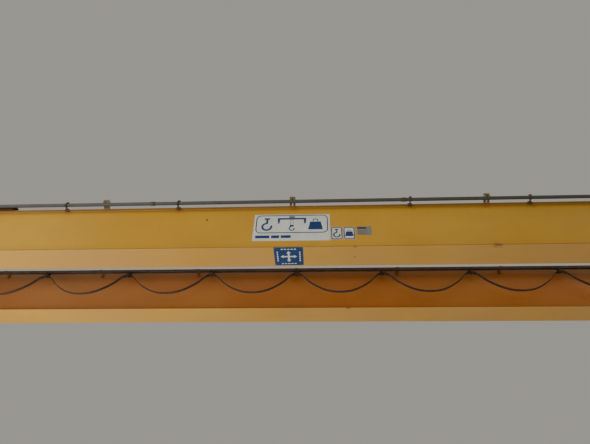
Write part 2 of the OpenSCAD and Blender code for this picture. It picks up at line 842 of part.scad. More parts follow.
module hook() {
    bowl_z = hook_top - 150;
    color(dark) translate([hook_x, hook_y, 0]) {
        translate([0, 0, bowl_z + 40]) cylinder(d = 46, h = hook_top - 10 - bowl_z - 40);
        translate([0, 0, hook_top - 42]) cylinder(d = 78, h = 32);
        translate([0, 0, bowl_z]) rotate([90, 0, 0])
            rotate_extrude(angle = 270, start = 90, $fn = 96)
                translate([hook_r, 0]) circle(d = hook_section, $fn = 32);
        translate([hook_r, 0, bowl_z]) sphere(d = hook_section);
    }
}

// Arm from the trolley to the first carrier, with the box the cable ends in
tow_y1 = crail_y - crail_w / 2 - 10;
tow_gland_z = crail_z + tow_end[0].y;
module festoon_tow_arm() {
    box_x1 = loop_x0 + tow_end[0].x - gland_l;
    color([0.45, 0.45, 0.44]) {
        box([tow_x, tow_y1 - tow_s, tow_gland_z - 45], [tow_x + tow_s, tow_y1, cross_z1 - 20]);
        box([box_x1 - 100, tow_y1 - tow_s / 2, tow_gland_z - 45],
            [tow_x + tow_s, tow_y1, tow_gland_z - 5]);
        box([box_x1 - 100, tow_y1, tow_gland_z - 50], [box_x1, crail_y + 32, tow_gland_z + 50]);
        box([box_x1, crail_y - gland_w / 2, tow_gland_z - gland_h / 2],
            [box_x1 + gland_l, crail_y + gland_w / 2, tow_gland_z + gland_h / 2]);
        box([tow_x + 5, tow_y1, crail_z - 20], [tow_x + tow_s - 5, crail_y - cable_w / 2 - 7, crail_z - 6]);
    }
}

// Cabinet on two rails behind the rear girder
module control_cabinet() {
    x = span / 2 - cabinet_x - cabinet_w;
    z0 = girder_clear + 40;
    rail_d = flange_lip + 6;
    color([0.62, 0.63, 0.62]) {
        box([x, rear_outer_face + rail_d, z0],
            [x + cabinet_w, rear_outer_face + rail_d + cabinet_d, z0 + cabinet_h]);
        for (dz = [60, cabinet_h - 100])
            box([x + 20, rear_outer_face, z0 + dz],
                [x + cabinet_w - 20, rear_outer_face + rail_d, z0 + dz + 40]);
    }
}

top_flange(front_y);  // front_girder_top_flange
bottom_flange(front_y);  // front_girder_bottom_flange
web(front_y, -1);  // front_girder_outer_web
web(front_y, 1);  // front_girder_inner_web
top_flange(rear_y);  // rear_girder_top_flange
bottom_flange(rear_y);  // rear_girder_bottom_flange
web(rear_y, -1);  // rear_girder_inner_web
web(rear_y, 1);  // rear_girder_outer_web
girder_end_plates();
girder_seat_plates();
trolley_rails();
trolley_end_stops();
end_carriage(-1);  // left_end_carriage
end_carriage(1);  // right_end_carriage
drive_wheels();
idler_wheels();
wheel_bearing_caps();
travel_drive(-1);  // left_travel_drive
travel_drive(1);  // right_travel_drive
carriage_buffers();
festoon_rail();
festoon_brackets();
festoon_carriers();
festoon_cable();
festoon_feed_box();
cable_conduit();
conduit_stands();
conduit_clamps();
cable_trunking();
large_sign_plate();
small_sign_plates();
rating_plate();
travel_sign();
trolley_frame();
trolley_wheels();
trolley_drive();
hoist_drum();
drum_bearing();
hoist_gearbox();
hoist_motor();
hoist_ropes();
hook_block();
hook();
festoon_tow_arm();
control_cabinet();
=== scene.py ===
import json
import math

import bmesh
import bpy
import numpy as np
from mathutils import Matrix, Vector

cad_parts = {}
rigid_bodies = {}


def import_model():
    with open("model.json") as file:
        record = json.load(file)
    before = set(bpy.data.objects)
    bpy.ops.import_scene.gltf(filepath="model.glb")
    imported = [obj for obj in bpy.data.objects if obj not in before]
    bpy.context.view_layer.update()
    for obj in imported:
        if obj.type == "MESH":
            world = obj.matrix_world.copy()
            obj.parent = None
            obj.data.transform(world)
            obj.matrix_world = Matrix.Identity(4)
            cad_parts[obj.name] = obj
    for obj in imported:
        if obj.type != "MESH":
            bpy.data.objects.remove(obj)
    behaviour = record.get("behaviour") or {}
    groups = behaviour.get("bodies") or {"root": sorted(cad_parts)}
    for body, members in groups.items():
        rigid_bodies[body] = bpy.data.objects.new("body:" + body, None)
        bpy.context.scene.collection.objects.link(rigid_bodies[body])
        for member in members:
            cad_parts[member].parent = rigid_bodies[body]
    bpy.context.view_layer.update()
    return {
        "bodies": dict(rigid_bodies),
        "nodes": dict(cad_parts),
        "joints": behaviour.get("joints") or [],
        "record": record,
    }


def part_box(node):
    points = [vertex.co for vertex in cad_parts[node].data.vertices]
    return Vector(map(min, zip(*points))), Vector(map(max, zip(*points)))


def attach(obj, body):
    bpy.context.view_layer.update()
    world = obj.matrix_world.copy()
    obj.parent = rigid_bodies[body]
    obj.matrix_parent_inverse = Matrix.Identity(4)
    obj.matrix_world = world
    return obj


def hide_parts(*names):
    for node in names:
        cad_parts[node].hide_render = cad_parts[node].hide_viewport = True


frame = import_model()
nodes = frame["nodes"]
print("frame loaded,", len(nodes), "nodes")


def corners(node):
    # lowest and highest corner of a CAD node
    return tuple(np.array(corner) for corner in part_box(node))


# Shapes: each is (points, faces), where faces is a list of arrays of corner numbers

def ring(count, radius=1.0, turn=0.0):
    # circle: radius times cosine and sine of evenly spaced angles
    angle = np.arange(count) * 2 * math.pi / count + turn
    return radius * np.stack([np.cos(angle), np.sin(angle)], 1)


def arcPoints(radius, first, last, count, middle=(0, 0)):
    # part of a circle: radius times cosine and sine of the angles from first to last, round the middle
    angle = np.linspace(first, last, count)
    return radius * np.stack([np.cos(angle), np.sin(angle)], 1) + middle


def roundedRect(width, height, radius, perCorner=4):
    # rectangle whose corners are quarter circles
    angle = (np.arange(perCorner) / (perCorner - 1) + np.arange(4)[:, None]) * math.pi / 2
    middle = np.array([[1, 1], [-1, 1], [-1, -1], [1, -1]]) * [width / 2 - radius, height / 2 - radius]
    return (middle[:, None] + radius * np.stack([np.cos(angle), np.sin(angle)], -1)).reshape(-1, 2)


def inset(outline, distance):
    # every corner moved in along the mean of its two edge normals, so that each edge moves by the distance
    edge = np.roll(outline, -1, 0) - outline
    normal = np.stack([-edge[:, 1], edge[:, 0]], 1) / np.linalg.norm(edge, axis=1, keepdims=True)
    mean = normal + np.roll(normal, 1, 0)
    return outline + distance * 2 * mean / (mean**2).sum(1, keepdims=True)


def skin(points, loop=False):
    # quads between neighbouring rings of points, and a face over each end unless the rings make a loop
    rows, columns = points.shape[:2]
    total = rows * columns
    i, j = np.meshgrid(np.arange(rows if loop else rows - 1), np.arange(columns), indexing="ij")
    a, b = i * columns + j, i * columns + (j + 1) % columns
    quads = np.stack([a, b, (b + columns) % total, (a + columns) % total], -1).reshape(-1, 4)
    ends = [] if loop else [np.arange(columns)[None, ::-1], total - columns + np.arange(columns)[None]]
    return points.reshape(-1, 3), [quads] + ends


def toAxis(points, axis, sign=1):
    # (across, up, along) laid so that along points down the axis: across and up are y and z for x,
    # x and z for y, and x and y for z
    order = {"x": [2, 0, 1], "y": [0, 2, 1], "z": [0, 1, 2]}[axis]
    return (points * [1, 1, sign])[..., order]


def prism(outline, low, high, axis="z", place=(0, 0, 0), bevel=0.0):
    # the outline carried from low to high, drawn in by the bevel at both ends
    outline = np.asarray(outline, float)
    rings, heights = [outline, outline], [low, high]
    if bevel:
        small = inset(outline, bevel)
        rings, heights = [small, outline, outline, small], [low, low + bevel, high - bevel, high]
    levels = [np.column_stack([r, np.full(len(r), h)]) for r, h in zip(rings, heights)]
    points, faces = skin(np.stack(levels))
    return toAxis(points, axis) + place, faces


def turned(profile, axis="z", place=(0, 0, 0), count=32, sign=1):
    # the profile's (radius, height) pairs carried round the axis
    profile = np.asarray(profile, float)
    circle = ring(count)
    points = np.concatenate([profile[:, None, :1] * circle, np.repeat(profile[:, None, 1:], count, 1)], -1)
    points, faces = skin(points)
    return toAxis(points, axis, sign) + place, faces


def swept(path, outline, up=(0, 0, 1), loop=False, turn=None, scale=None):
    # the outline carried along the path, square to it, its second axis as near to up as it can be;
    # turn rolls it by that angle at each point, scale makes it that many times larger
    path = np.asarray(path, float)
    along = np.roll(path, -1, 0) - np.roll(path, 1, 0) if loop else np.gradient(path, axis=0)
    along /= np.linalg.norm(along, axis=1, keepdims=True)
    side = np.cross(along, up)
    side /= np.linalg.norm(side, axis=1, keepdims=True)
    top = np.cross(side, along)
    u, v = np.asarray(outline, float).T
    angle = np.zeros(len(path)) if turn is None else turn
    size = np.ones(len(path)) if scale is None else scale
    cos, sin = (size * np.cos(angle))[:, None], (size * np.sin(angle))[:, None]
    return skin(path[:, None] + (u * cos - v * sin)[..., None] * side[:, None]
                + (u * sin + v * cos)[..., None] * top[:, None], loop)


def copies(shape, places):
    # one copy of the shape at each place
    points, faces = shape
    places = np.asarray(places, float).reshape(-1, 3)
    step = np.arange(len(places))[:, None, None] * len(points)
    return ((points[None] + places[:, None]).reshape(-1, 3),
            [(f[None] + step).reshape(-1, f.shape[1]) for f in faces])


def joined(*shapes):
    # several shapes as one
    start = np.cumsum([0] + [len(points) for points, faces in shapes])
    return (np.concatenate([points for points, faces in shapes]),
            [f + s for (points, faces), s in zip(shapes, start) for f in faces])


def aimed(shape, axis, sign=1, place=(0, 0, 0)):
    # a shape that stands on z = 0, turned to stand out along the axis at the place
    return toAxis(shape[0], axis, sign) + np.asarray(place, float), shape[1]


def moved(shape, place=(0, 0, 0), flip=(1, 1, 1)):
    # flipped about the origin by signs, then shifted
    return shape[0] * flip + np.asarray(place, float), shape[1]


def spun(shape, degrees, about=(0, 0, 0), axis=1):
    # turned about the axis through a point
    angle = math.radians(degrees)
    a, b = [i for i in range(3) if i != axis]
    points = shape[0] - about
    u, v = points[:, a].copy(), points[:, b].copy()
    points[:, a] = u * math.cos(angle) - v * math.sin(angle)
    points[:, b] = u * math.sin(angle) + v * math.cos(angle)
    return points + about, shape[1]


def fourSpots(dx, dy, z):
    # the corners of a rectangle of those half sizes
    return [(sx * dx, sy * dy, z) for sx in (-1, 1) for sy in (-1, 1)]


def slab(low, high, bevel=0.0):
    # a plate or block between two corners, its edges drawn in by the bevel
    low, high = np.asarray(low, float), np.asarray(high, float)
    outline = np.array([[0.5, 0.5], [-0.5, 0.5], [-0.5, -0.5], [0.5, -0.5]]) * (high - low)[:2]
    if bevel:
        outline = roundedRect(*(high - low)[:2], bevel, 3)
    return prism(outline, low[2], high[2], "z", (*((low + high) / 2)[:2], 0), bevel * 0.6)


def bolt(size, washer=True):
    # washer and chamfered six-sided head, 1.5 sizes across the flats, standing on z = 0
    lift = 0.2 * size if washer else 0.0
    head = prism(ring(6, 0.87 * size), lift, lift + 0.65 * size, bevel=0.08 * size)
    return joined(prism(ring(12, size), 0, lift), head) if washer else head


def screw(size):
    # low domed screw head
    profile = [(size, 0), (size, 0.25 * size), (0.75 * size, 0.55 * size), (0.3 * size, 0.65 * size)]
    return turned(profile, count=10)


def beadOutline(size, across, up):
    # section of a fillet weld in the corner between two plates, a little full
    return np.array([[0, 0], [size * across, 0], [0.62 * size * across, 0.62 * size * up], [0, size * up]])


def smoothPath(points, perSpan):
    # cubic Hermite curve through the points, tangents from the neighbours over the chord lengths
    p = np.asarray(points, float)
    t = np.concatenate([[0], np.cumsum(np.linalg.norm(np.diff(p, axis=0), axis=1))])
    tangent = np.gradient(p, t, axis=0)
    s = np.concatenate([np.linspace(a, b, perSpan, endpoint=False) for a, b in zip(t[:-1], t[1:])] + [t[-1:]])
    i = np.clip(np.searchsorted(t, s, side="right") - 1, 0, len(t) - 2)
    h = (t[i + 1] - t[i])[:, None]
    u = ((s - t[i])[:, None]) / h
    return ((2 * u**3 - 3 * u**2 + 1) * p[i] + (u**3 - 2 * u**2 + u) * h * tangent[i]
            + (3 * u**2 - 2 * u**3) * p[i + 1] + (u**3 - u**2) * h * tangent[i + 1])


def makePiece(name, shapes, slotName, replaced=(), sharpAngle=32, finish=None):
    # joins shapes into one mesh with its faces outwards, that rides on the crane
    points, faces = joined(*shapes)
    mesh = bpy.data.meshes.new(name)
    mesh.from_pydata(points, [], [row for block in faces for row in block.tolist()])
    work = bmesh.new()
    work.from_mesh(mesh)
    bmesh.ops.recalc_face_normals(work, faces=work.faces)
    work.to_mesh(mesh)
    work.free()
    mesh.shade_smooth()
    mesh.set_sharp_from_angle(angle=math.radians(sharpAngle))
    piece = bpy.data.objects.new(name, mesh)
    bpy.context.scene.collection.objects.link(piece)
    mesh.materials.append(finishes[finish or slotName])
    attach(piece, "root")
    if replaced:
        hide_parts(*replaced)
    return piece


def makeFixings(name, shapes):
    # bolts and small plates, all in dulled zinc
    return makePiece(name, shapes, "carrier_steel", finish="zinc_fixings")


# Camera, at the photograph's angle from below the crane

camera = {
    "place": (0.277, -4.432, -3.069),
    "pitch": 43.93,
    "yaw": -3.80,
    "roll": 1.788,
    "focalPixels": 443,
    "imageWidth": 590,
    "reach": 200,
}


def addCamera():
    # forward from pitch and yaw, right square to it and level, both rolled about forward
    pitch, yaw, roll = (math.radians(camera[k]) for k in ("pitch", "yaw", "roll"))
    forward = np.array([math.sin(yaw) * math.cos(pitch), math.cos(yaw) * math.cos(pitch), math.sin(pitch)])
    right = np.array([math.cos(yaw), -math.sin(yaw), 0])
    up = np.cross(right, forward)
    data = bpy.data.cameras.new("camera")
    data.lens = camera["focalPixels"] / camera["imageWidth"] * data.sensor_width
    data.clip_end = camera["reach"]
    seer = bpy.data.objects.new("camera", data)
    pose = np.eye(4)
    pose[:3, 0] = right * math.cos(roll) + up * math.sin(roll)
    pose[:3, 1] = up * math.cos(roll) - right * math.sin(roll)
    pose[:3, 2], pose[:3, 3] = -forward, camera["place"]
    seer.matrix_world = Matrix(pose.tolist())
    bpy.context.scene.collection.objects.link(seer)
    bpy.context.scene.camera = seer


addCamera()
print("camera placed")


# Materials

def colour(text, alpha=1.0):
    # sRGB hex to the linear values that the shader works in
    c = np.array([int(text[i:i + 2], 16) / 255 for i in (0, 2, 4)])
    linear = np.where(c <= 0.04045, c / 12.92, ((c + 0.055) / 1.055) ** 2.4)
    return (*linear.tolist(), alpha)


def addNode(tree, kind, inputs=None, **settings):
    # a node of that kind, with its settings, and with each input set or linked
    node = tree.nodes.new("ShaderNode" + kind)
    for name, value in settings.items():
        setattr(node, name, value)
    for key, value in (inputs or {}).items():
        if isinstance(value, bpy.types.NodeSocket):
            tree.links.new(value, node.inputs[key])
        else:
            node.inputs[key].default_value = value
    return node


def startMaterial(name):
    # an empty material, and the object's own metres as the place on it
    material = bpy.data.materials.new(name)
    material.use_nodes = True
    tree = material.node_tree
    tree.nodes.clear()
    return material, tree, addNode(tree, "TexCoord").outputs["Object"]


def patches(tree, place, size, low, high, stretch=(1, 1, 1), shift=0.0, detail=4.0):
    # noise whose features are about size metres wide, 0 under low and 1 over high; stretch lengthens them
    seen = addNode(tree, "Mapping", {0: place, 1: [shift] * 3, 3: [1 / (size * s) for s in stretch]})
    noise = addNode(tree, "TexNoise", {0: seen.outputs[0], "Scale": 1.0, "Detail": detail})
    return addNode(tree, "MapRange", {0: noise.outputs[0], 1: low, 2: high}).outputs[0]


def stainSpot(tree, place, at, size):
    # 1 at the spot, fading over about its size in metres, with a ragged edge
    reach = addNode(tree, "VectorMath", {0: place, 1: at}, operation="DISTANCE").outputs["Value"]
    edge = patches(tree, place, size * 0.4, 0.2, 0.8)
    ragged = addNode(tree, "Math", {0: times(tree, reach, 1 / size), 1: edge}, operation="ADD").outputs[0]
    return addNode(tree, "MapRange", {0: ragged, 1: 1.5, 2: 0.5}).outputs[0]


def facing(tree, low, high):
    # 0 to 1 as the surface turns upwards, its normal's share of up going from low to high
    normal = addNode(tree, "SeparateXYZ", {0: addNode(tree, "NewGeometry").outputs["Normal"]})
    return addNode(tree, "MapRange", {0: normal.outputs[2], 1: low, 2: high}).outputs[0]


def level(tree, place, axis, low, high):
    # 0 to 1 as the place goes from low to high along the axis, in metres
    apart = addNode(tree, "SeparateXYZ", {0: place})
    return addNode(tree, "MapRange", {0: apart.outputs[axis], 1: low, 2: high}).outputs[0]


def times(tree, *masks):
    # the product of masks
    result = masks[0]
    for mask in masks[1:]:
        result = addNode(tree, "Math", {0: result, 1: mask}, operation="MULTIPLY").outputs[0]
    return result


def coats(tree, base, layers):
    # each (hex colour, mask, strength) laid over what is under it
    under = colour(base)
    for hexText, mask, strength in layers:
        under = addNode(tree, "Mix", {0: times(tree, mask, strength), 6: under, 7: colour(hexText)},
                        data_type="RGBA").outputs[2]
    return under


def roughOver(tree, mask, clean, worn, dust=None):
    # roughness from clean to worn as the mask grows, and 0.3 more where dust lies
    rough = addNode(tree, "MapRange", {0: mask, 3: clean, 4: worn}).outputs[0]
    if dust is None:
        return rough
    return addNode(tree, "Math", {0: rough, 1: times(tree, dust, 0.3)}, operation="ADD").outputs[0]


def relief(tree, layers):
    # each (height, depth in metres) carved on the one before
    normal = None
    for height, depth in layers:
        bump = addNode(tree, "Bump", {"Height": height, "Distance": depth})
        if normal:
            tree.links.new(normal, bump.inputs["Normal"])
        normal = bump.outputs[0]
    return normal


def finishMaterial(material, tree, base, rough, carved, metal=0.0):
    # the surface with its colour, roughness, relief and share of bare metal
    shader = addNode(tree, "BsdfPrincipled", {"Base Color": base, "Roughness": rough, "Metallic": metal,
                                              "Normal": relief(tree, carved)})
    addNode(tree, "OutputMaterial", {0: shader.outputs[0]})
    return material


enamel = {
    "girder_enamel": {"name": "sprayed_golden_enamel", "paint": "cc9621", "faded": "d8a63c",
                      "aged": "b88326", "dust": "9a8868", "gloss": (0.34, 0.52)},
    "carriage_enamel": {"name": "brushed_golden_enamel", "paint": "cb921e", "faded": "d5a238",
                        "aged": "ad7a1c", "dust": "94825f", "gloss": (0.30, 0.50)},
    "block_enamel": {"name": "chipped_golden_enamel", "paint": "dd9a1c", "faded": "e4ab3a",
                     "aged": "8a5a1a", "dust": "6e5a3c", "gloss": (0.30, 0.45)},
}
# the inner webs' enamel: a redder, darker copy of the girder enamel, its colour painted shade for the gap
# between the girders, with the painted shade under the lip reaching 0.42 m down the web and a painted pale
# cool light towards the left end
enamel["shaded_inner_web_enamel"] = {**enamel["girder_enamel"], "name": "shaded_golden_enamel",
                              "paint": "cb812f", "faded": "ce8e40", "aged": "ab702c", "lipFade": 0.42,
                              "bloom_and_cool_light": "ab9686"}
enamel["girder_enamel"]["stains"] = [((0.694, -0.766, 0.094), 0.030), ((2.22, -0.766, 0.094), 0.065),
                                     ((0.703, -0.584, 0.090), 0.018), ((0.67, 0.434, 0.095), 0.045)]
enamel["girder_enamel"]["washes"] = [((x, -0.752, 0.718), 0.075)
                                     for x in (-2.74, -1.37, 0.02, 1.40, 2.26, 2.78)]
# girder values: the brown named shade is painted shade, the pale underside colour is a painted sheen, and the
# last two values mark where the painted cool light on the inner webs runs from and to
girderLook = {
    "lipZ": 0.723, "lipFade": 0.085, "underZ": 0.09, "edge": 0.012, "rust": "6a3a18", "shade": "6b4518",
    "dirt_film_and_sheen": "bc8f50", "wash": "94511c", "coolLightFrom": 0.8, "coolLightTo": -4.2,
}


def goldenEnamel(slotName):
    # alkyd enamel over welded plate: even golden yellow that has faded in soft patches a metre wide, thin
    # vertical runs, dust on what faces up and rust where edges chip; brown painted shade close under the top
    # flange and a band of the same brown along the bottom flange's edge; a paler painted sheen on what faces
    # down; and on the inner webs a pale painted cool light towards the left end
    look, girders = enamel[slotName], girderLook
    material, tree, place = startMaterial(look["name"])
    faded = patches(tree, place, 1.4, 0.40, 0.66)
    aged = patches(tree, place, 0.55, 0.45, 0.75, (1.6, 1, 0.8), 7.3)
    runs = patches(tree, place, 0.035, 0.56, 0.80, (1, 1, 14), 3.1)
    dust = times(tree, facing(tree, 0.35, 0.95), patches(tree, place, 0.16, 0.25, 0.65, shift=1.7))
    specks = times(tree, patches(tree, place, 0.016, 0.70, 0.76, shift=5.2),
                   patches(tree, place, 0.8, 0.55, 0.7, shift=9.0))
    layers = [(look["faded"], faded, 0.55), (look["aged"], aged, 0.40), (look["aged"], runs, 0.18),
              (girders["rust"], specks, 0.8)]
    if slotName in ("girder_enamel", "shaded_inner_web_enamel"):
        top, under = girders["lipZ"], girders["underZ"]
        side = facing(tree, 0.9, 0.2)
        nearLip = level(tree, place, 2, top - look.get("lipFade", girders["lipFade"]), top + 0.004)
        soft = addNode(tree, "MapRange", {0: nearLip}, interpolation_type="SMOOTHSTEP").outputs[0]
        grime_and_shade = times(tree, soft, side)
        edge = level(tree, place, 2, under + girders["edge"], under + 0.002)
        upright = times(tree, side, facing(tree, -0.9, -0.2))
        # painted shade: the web is browned close under the top flange's lip, fading over lipFade down the
        # web; then a band of the same brown along the bottom flange's upright edge
        layers += [(girders["shade"], times(tree, grime_and_shade, grime_and_shade), 0.75),
                   (girders["shade"], times(tree, edge, upright), 0.75)]
    # painted sheen: what faces down is paled in soft patches, standing in for the floor's light reflected off
    # the undersides
    dirt_film_and_sheen = times(tree, facing(tree, -0.55, -0.95), patches(tree, place, 0.9, 0.1, 0.6, shift=6.6))
    layers += [(look["dust"], dust, 0.8), (girders["dirt_film_and_sheen"], dirt_film_and_sheen, 0.55)]
    # painted light: the inner webs are paled towards the left end, standing in for cool window light and the
    # hall's reflection
    if "bloom_and_cool_light" in look:
        layers.append((look["bloom_and_cool_light"], level(tree, place, 0, girders["coolLightFrom"], girders["coolLightTo"]), 0.20))
    for key, hexText, strength in (("stains", girders["rust"], 0.8), ("washes", girders["wash"], 0.6)):
        layers += [(hexText, stainSpot(tree, place, at, size), strength) for at, size in look.get(key, ())]
    # relief: the plates bow by millimetres over half a metre, and the sprayed coat has an orange peel 4 mm
    # wide
    return finishMaterial(material, tree, coats(tree, look["paint"], layers),
                          roughOver(tree, aged, *look["gloss"], dust),
                          [(patches(tree, place, 0.45, 0.0, 1.0, shift=2.0, detail=1.0), 0.006),
                           (patches(tree, place, 0.004, 0.0, 1.0, detail=2.0), 0.00010)])


def steelMaterial(name, bare, stain, rust, roughness, stainCut, rustCut, grain=(1, 1, 1), metallic=1.0):
    # bare steel: bright metal with darker oxide in patches, rust in spots, and grain along the way it was
    # worked; real grain is a few tenths of a millimetre wide, too fine to show, and is drawn at 2.5 mm
    material, tree, place = startMaterial(name)
    oxide = patches(tree, place, 0.09, *stainCut)
    spots = patches(tree, place, 0.03, *rustCut, shift=4.4)
    lines = patches(tree, place, 0.0025, 0.2, 0.8, grain, 2.2)
    worn = addNode(tree, "Math", {0: oxide, 1: spots}, operation="MAXIMUM").outputs[0]
    metal = addNode(tree, "MapRange", {0: spots, 3: metallic, 4: 0.1}).outputs[0]
    return finishMaterial(material, tree,
                          coats(tree, bare, [(stain, oxide, 0.7), (rust, spots, 0.85), (stain, lines, 0.25)]),
                          roughOver(tree, worn, roughness, min(roughness + 0.35, 0.9)),
                          [(lines, 0.00015), (spots, 0.0004)], metal)


def paintMaterial(name, paint, worn, dustHex, roughness, dustiness=0.6, texture=0.0015):
    # plain machine paint: even coat with rubbed patches, dust on what faces up, and the real spray texture
    # of 1.5 mm, or as coarse as it is asked for
    material, tree, place = startMaterial(name)
    rubbed = patches(tree, place, 0.12, 0.50, 0.78)
    dust = times(tree, facing(tree, 0.3, 0.95), patches(tree, place, 0.08, 0.2, 0.6, shift=1.1))
    return finishMaterial(material, tree,
                          coats(tree, paint, [(worn, rubbed, 0.6), (dustHex, dust, dustiness)]),
                          roughOver(tree, rubbed, roughness, roughness + 0.15, dust),
                          [(patches(tree, place, texture, 0.0, 1.0, detail=2.0), texture * 0.05)])


def rustySteel(name, paint, rust, roughness, rustCut):
    # thin old paint over mild steel: brown where it has gone, orange where that is deepest, and rust pits
    # 3 mm wide
    material, tree, place = startMaterial(name)
    gone = patches(tree, place, 0.05, *rustCut, (2.5, 1, 1))
    deep = patches(tree, place, 0.018, 0.52, 0.68, shift=6.0)
    return finishMaterial(material, tree,
                          coats(tree, paint, [(rust, gone, 0.85), ("7a4424", times(tree, gone, deep), 0.5)]),
                          roughOver(tree, gone, roughness, 0.85),
                          [(gone, 0.0004), (patches(tree, place, 0.003, 0.0, 1.0), 0.00012)])


def castIron(name, paint, dustHex, roughness):
    # sand-cast housing in grey machine enamel: the sand's grain shows through, oil darkens it, dust settles
    # on top; the real grain of half a millimetre is too fine to show, and is drawn at 3.5 mm
    material, tree, place = startMaterial(name)
    oil = patches(tree, place, 0.10, 0.52, 0.72, (1, 1, 2), 2.7)
    dust = times(tree, facing(tree, 0.35, 0.95), patches(tree, place, 0.05, 0.25, 0.6, shift=1.9))
    return finishMaterial(material, tree, coats(tree, paint, [("17191a", oil, 0.6), (dustHex, dust, 0.55)]),
                          roughOver(tree, oil, roughness, roughness - 0.18, dust),
                          [(patches(tree, place, 0.0035, 0.0, 1.0), 0.00035)])


def rubber(name, dark, grey, roughness, scuff=0.02):
    # moulded rubber: near black, bloomed grey in patches, with a soft sheen; the mould leaves a grain of a
    # few tenths of a millimetre, too fine to show, which is drawn at 2 or 3 mm
    material, tree, place = startMaterial(name)
    bloom_and_cool_light = patches(tree, place, scuff * 3, 0.42, 0.70)
    return finishMaterial(material, tree, coats(tree, dark, [(grey, bloom_and_cool_light, 0.6)]),
                          roughOver(tree, bloom_and_cool_light, roughness, roughness + 0.2),
                          [(patches(tree, place, scuff * 0.1, 0.0, 1.0), 0.00008)])


def signFace(name, face, grime_and_shade, roughness):
    # stove-enamelled sheet: flat clean colour with a film of dirt, a few vertical runs and the enamel's own
    # ripple, 2 mm wide
    material, tree, place = startMaterial(name)
    dirt_film_and_sheen = patches(tree, place, 0.16, 0.42, 0.75)
    runs = patches(tree, place, 0.012, 0.58, 0.80, (1, 1, 10), 3.3)
    return finishMaterial(material, tree, coats(tree, face, [(grime_and_shade, dirt_film_and_sheen, 0.25), (grime_and_shade, runs, 0.35)]),
                          roughOver(tree, dirt_film_and_sheen, roughness, roughness + 0.2),
                          [(patches(tree, place, 0.002, 0.0, 1.0), 0.00003)])


finishes = {
    **{slotName: goldenEnamel(slotName) for slotName in enamel},
    "rail_steel": steelMaterial("rolled_rail_steel", "8f8a84", "5a4a3c", "6b3d20", 0.34, (0.4, 0.7),
                                (0.55, 0.7), (40, 1, 1)),
    "wheel_steel": steelMaterial("turned_wheel_steel", "8c8b89", "55504a", "6b4326", 0.28, (0.45, 0.7),
                                 (0.62, 0.75)),
    "machine_grey": castIron("cast_iron_grey_enamel", "4c5356", "8a8272", 0.48),
    "buffer_rubber": rubber("moulded_black_rubber", "141414", "2e2d2b", 0.62),
    "rusty_steel": rustySteel("old_paint_over_rust", "54463a", "452c1c", 0.6, (0.42, 0.66)),
    # the brackets' dark brown-yellow is partly dusty old paint and partly painted shade for brackets that
    # hang in the gap between the girders
    "bracket_paint": rustySteel("dusty_shaded_bracket_paint", "86541f", "5a3a20", 0.6, (0.48, 0.70)),
    "carrier_steel": steelMaterial("blackened_zinc_steel", "5e4f42", "33281f", "5b3a22", 0.5, (0.35, 0.6),
                                   (0.62, 0.74), metallic=0.5),
    "cable_sheath": rubber("neoprene_cable_sheath", "3c3129", "574838", 0.55, 0.03),
    "box_grey": paintMaterial("light_grey_powder_coat", "9a9c99", "868783", "80796a", 0.42),
    "galvanised_steel": paintMaterial("dull_galvanised_tube", "4b4a46", "3d3b37", "9a978c", 0.52, 0.85,
                                      0.003),
    "zinc_fixings": steelMaterial("dulled_zinc_fixings", "8c8982", "6b6558", "6e4a2c", 0.42, (0.35, 0.65),
                                  (0.58, 0.72), metallic=0.85),
    # the clamps' olive is painted shade, a darker yellow for clamps seen against the light; the dust on what
    # faces up is real
    "dusty_shaded_clamp_enamel": paintMaterial("dusty_shaded_olive_clamp_enamel", "70633a", "564c36", "706a55", 0.6, 0.8),
    "trunking_brown": paintMaterial("brown_trunking_paint", "4a3222", "5d4430", "6d5c46", 0.5),
    "sign_white": signFace("white_stove_enamel", "dedfd6", "a29c8c", 0.34),
    "sign_blue": signFace("blue_stove_enamel", "0b3870", "2c4262", 0.34),
    "deep_sign_blue": signFace("deep_blue_stove_enamel", "003470", "143a5c", 0.6),
    "plate_aluminium": steelMaterial("etched_aluminium_plate", "b9bab8", "8f8f8c", "7d7a74", 0.36,
                                     (0.4, 0.7), (0.62, 0.75), (12, 1, 1)),
    "rope_wire": steelMaterial("greased_wire_rope", "5a5753", "2c2824", "4a3320", 0.38, (0.35, 0.6),
                               (0.60, 0.74)),
    "hook_steel": castIron("forged_black_hook_steel", "2b2b2c", "6b655a", 0.42),
}
# the inner webs take the redder, darker copy of the girder enamel, which is painted shade; the conduit clamps
# take a darker olive enamel, also painted shade
ownFinish = {"conduit_clamps": "dusty_shaded_clamp_enamel", "front_girder_inner_web": "shaded_inner_web_enamel",
             "rear_girder_inner_web": "shaded_inner_web_enamel", "travel_sign": "deep_sign_blue"}
for part in frame["record"]["subparts"]:
    dressed = nodes[part["node"]]
    dressed.data.materials.clear()
    dressed.data.materials.append(finishes[ownFinish.get(part["node"], part["material_slot"])])
print("materials made,", len(finishes))


# Festoon cable, a flat four-core lead hung from its carriers in nine loops and a short last one

cable = {
    "width": 0.038, "thickness": 0.010, "edge": 0.49, "pressed": 0.07, "perSpan": 8,
    "railY": 0.3695, "railZ": 0.636,
    "firstCarrier": -4.640, "loopPitch": 1.160, "loops": 9, "endClamp": 0.700,
    # (along, up) from a carrier on the rail: the first end, one loop, and the way into the feed box
    "towEnd": [(-0.160, -0.115), (-0.110, -0.104), (-0.050, -0.056)],
    "loop": [(0, -0.034), (0.050, -0.056), (0.190, -0.190), (0.440, -0.326), (0.720, -0.326),
             (0.970, -0.190), (1.110, -0.056)],
    "feedEnd": [(0, -0.034), (0.050, -0.056), (0.160, -0.150), (0.290, -0.215), (0.410, -0.215),
                (0.540, -0.150), (0.650, -0.056), (0.700, -0.034), (0.750, -0.056), (0.810, -0.104),
                (0.860, -0.115)],
}


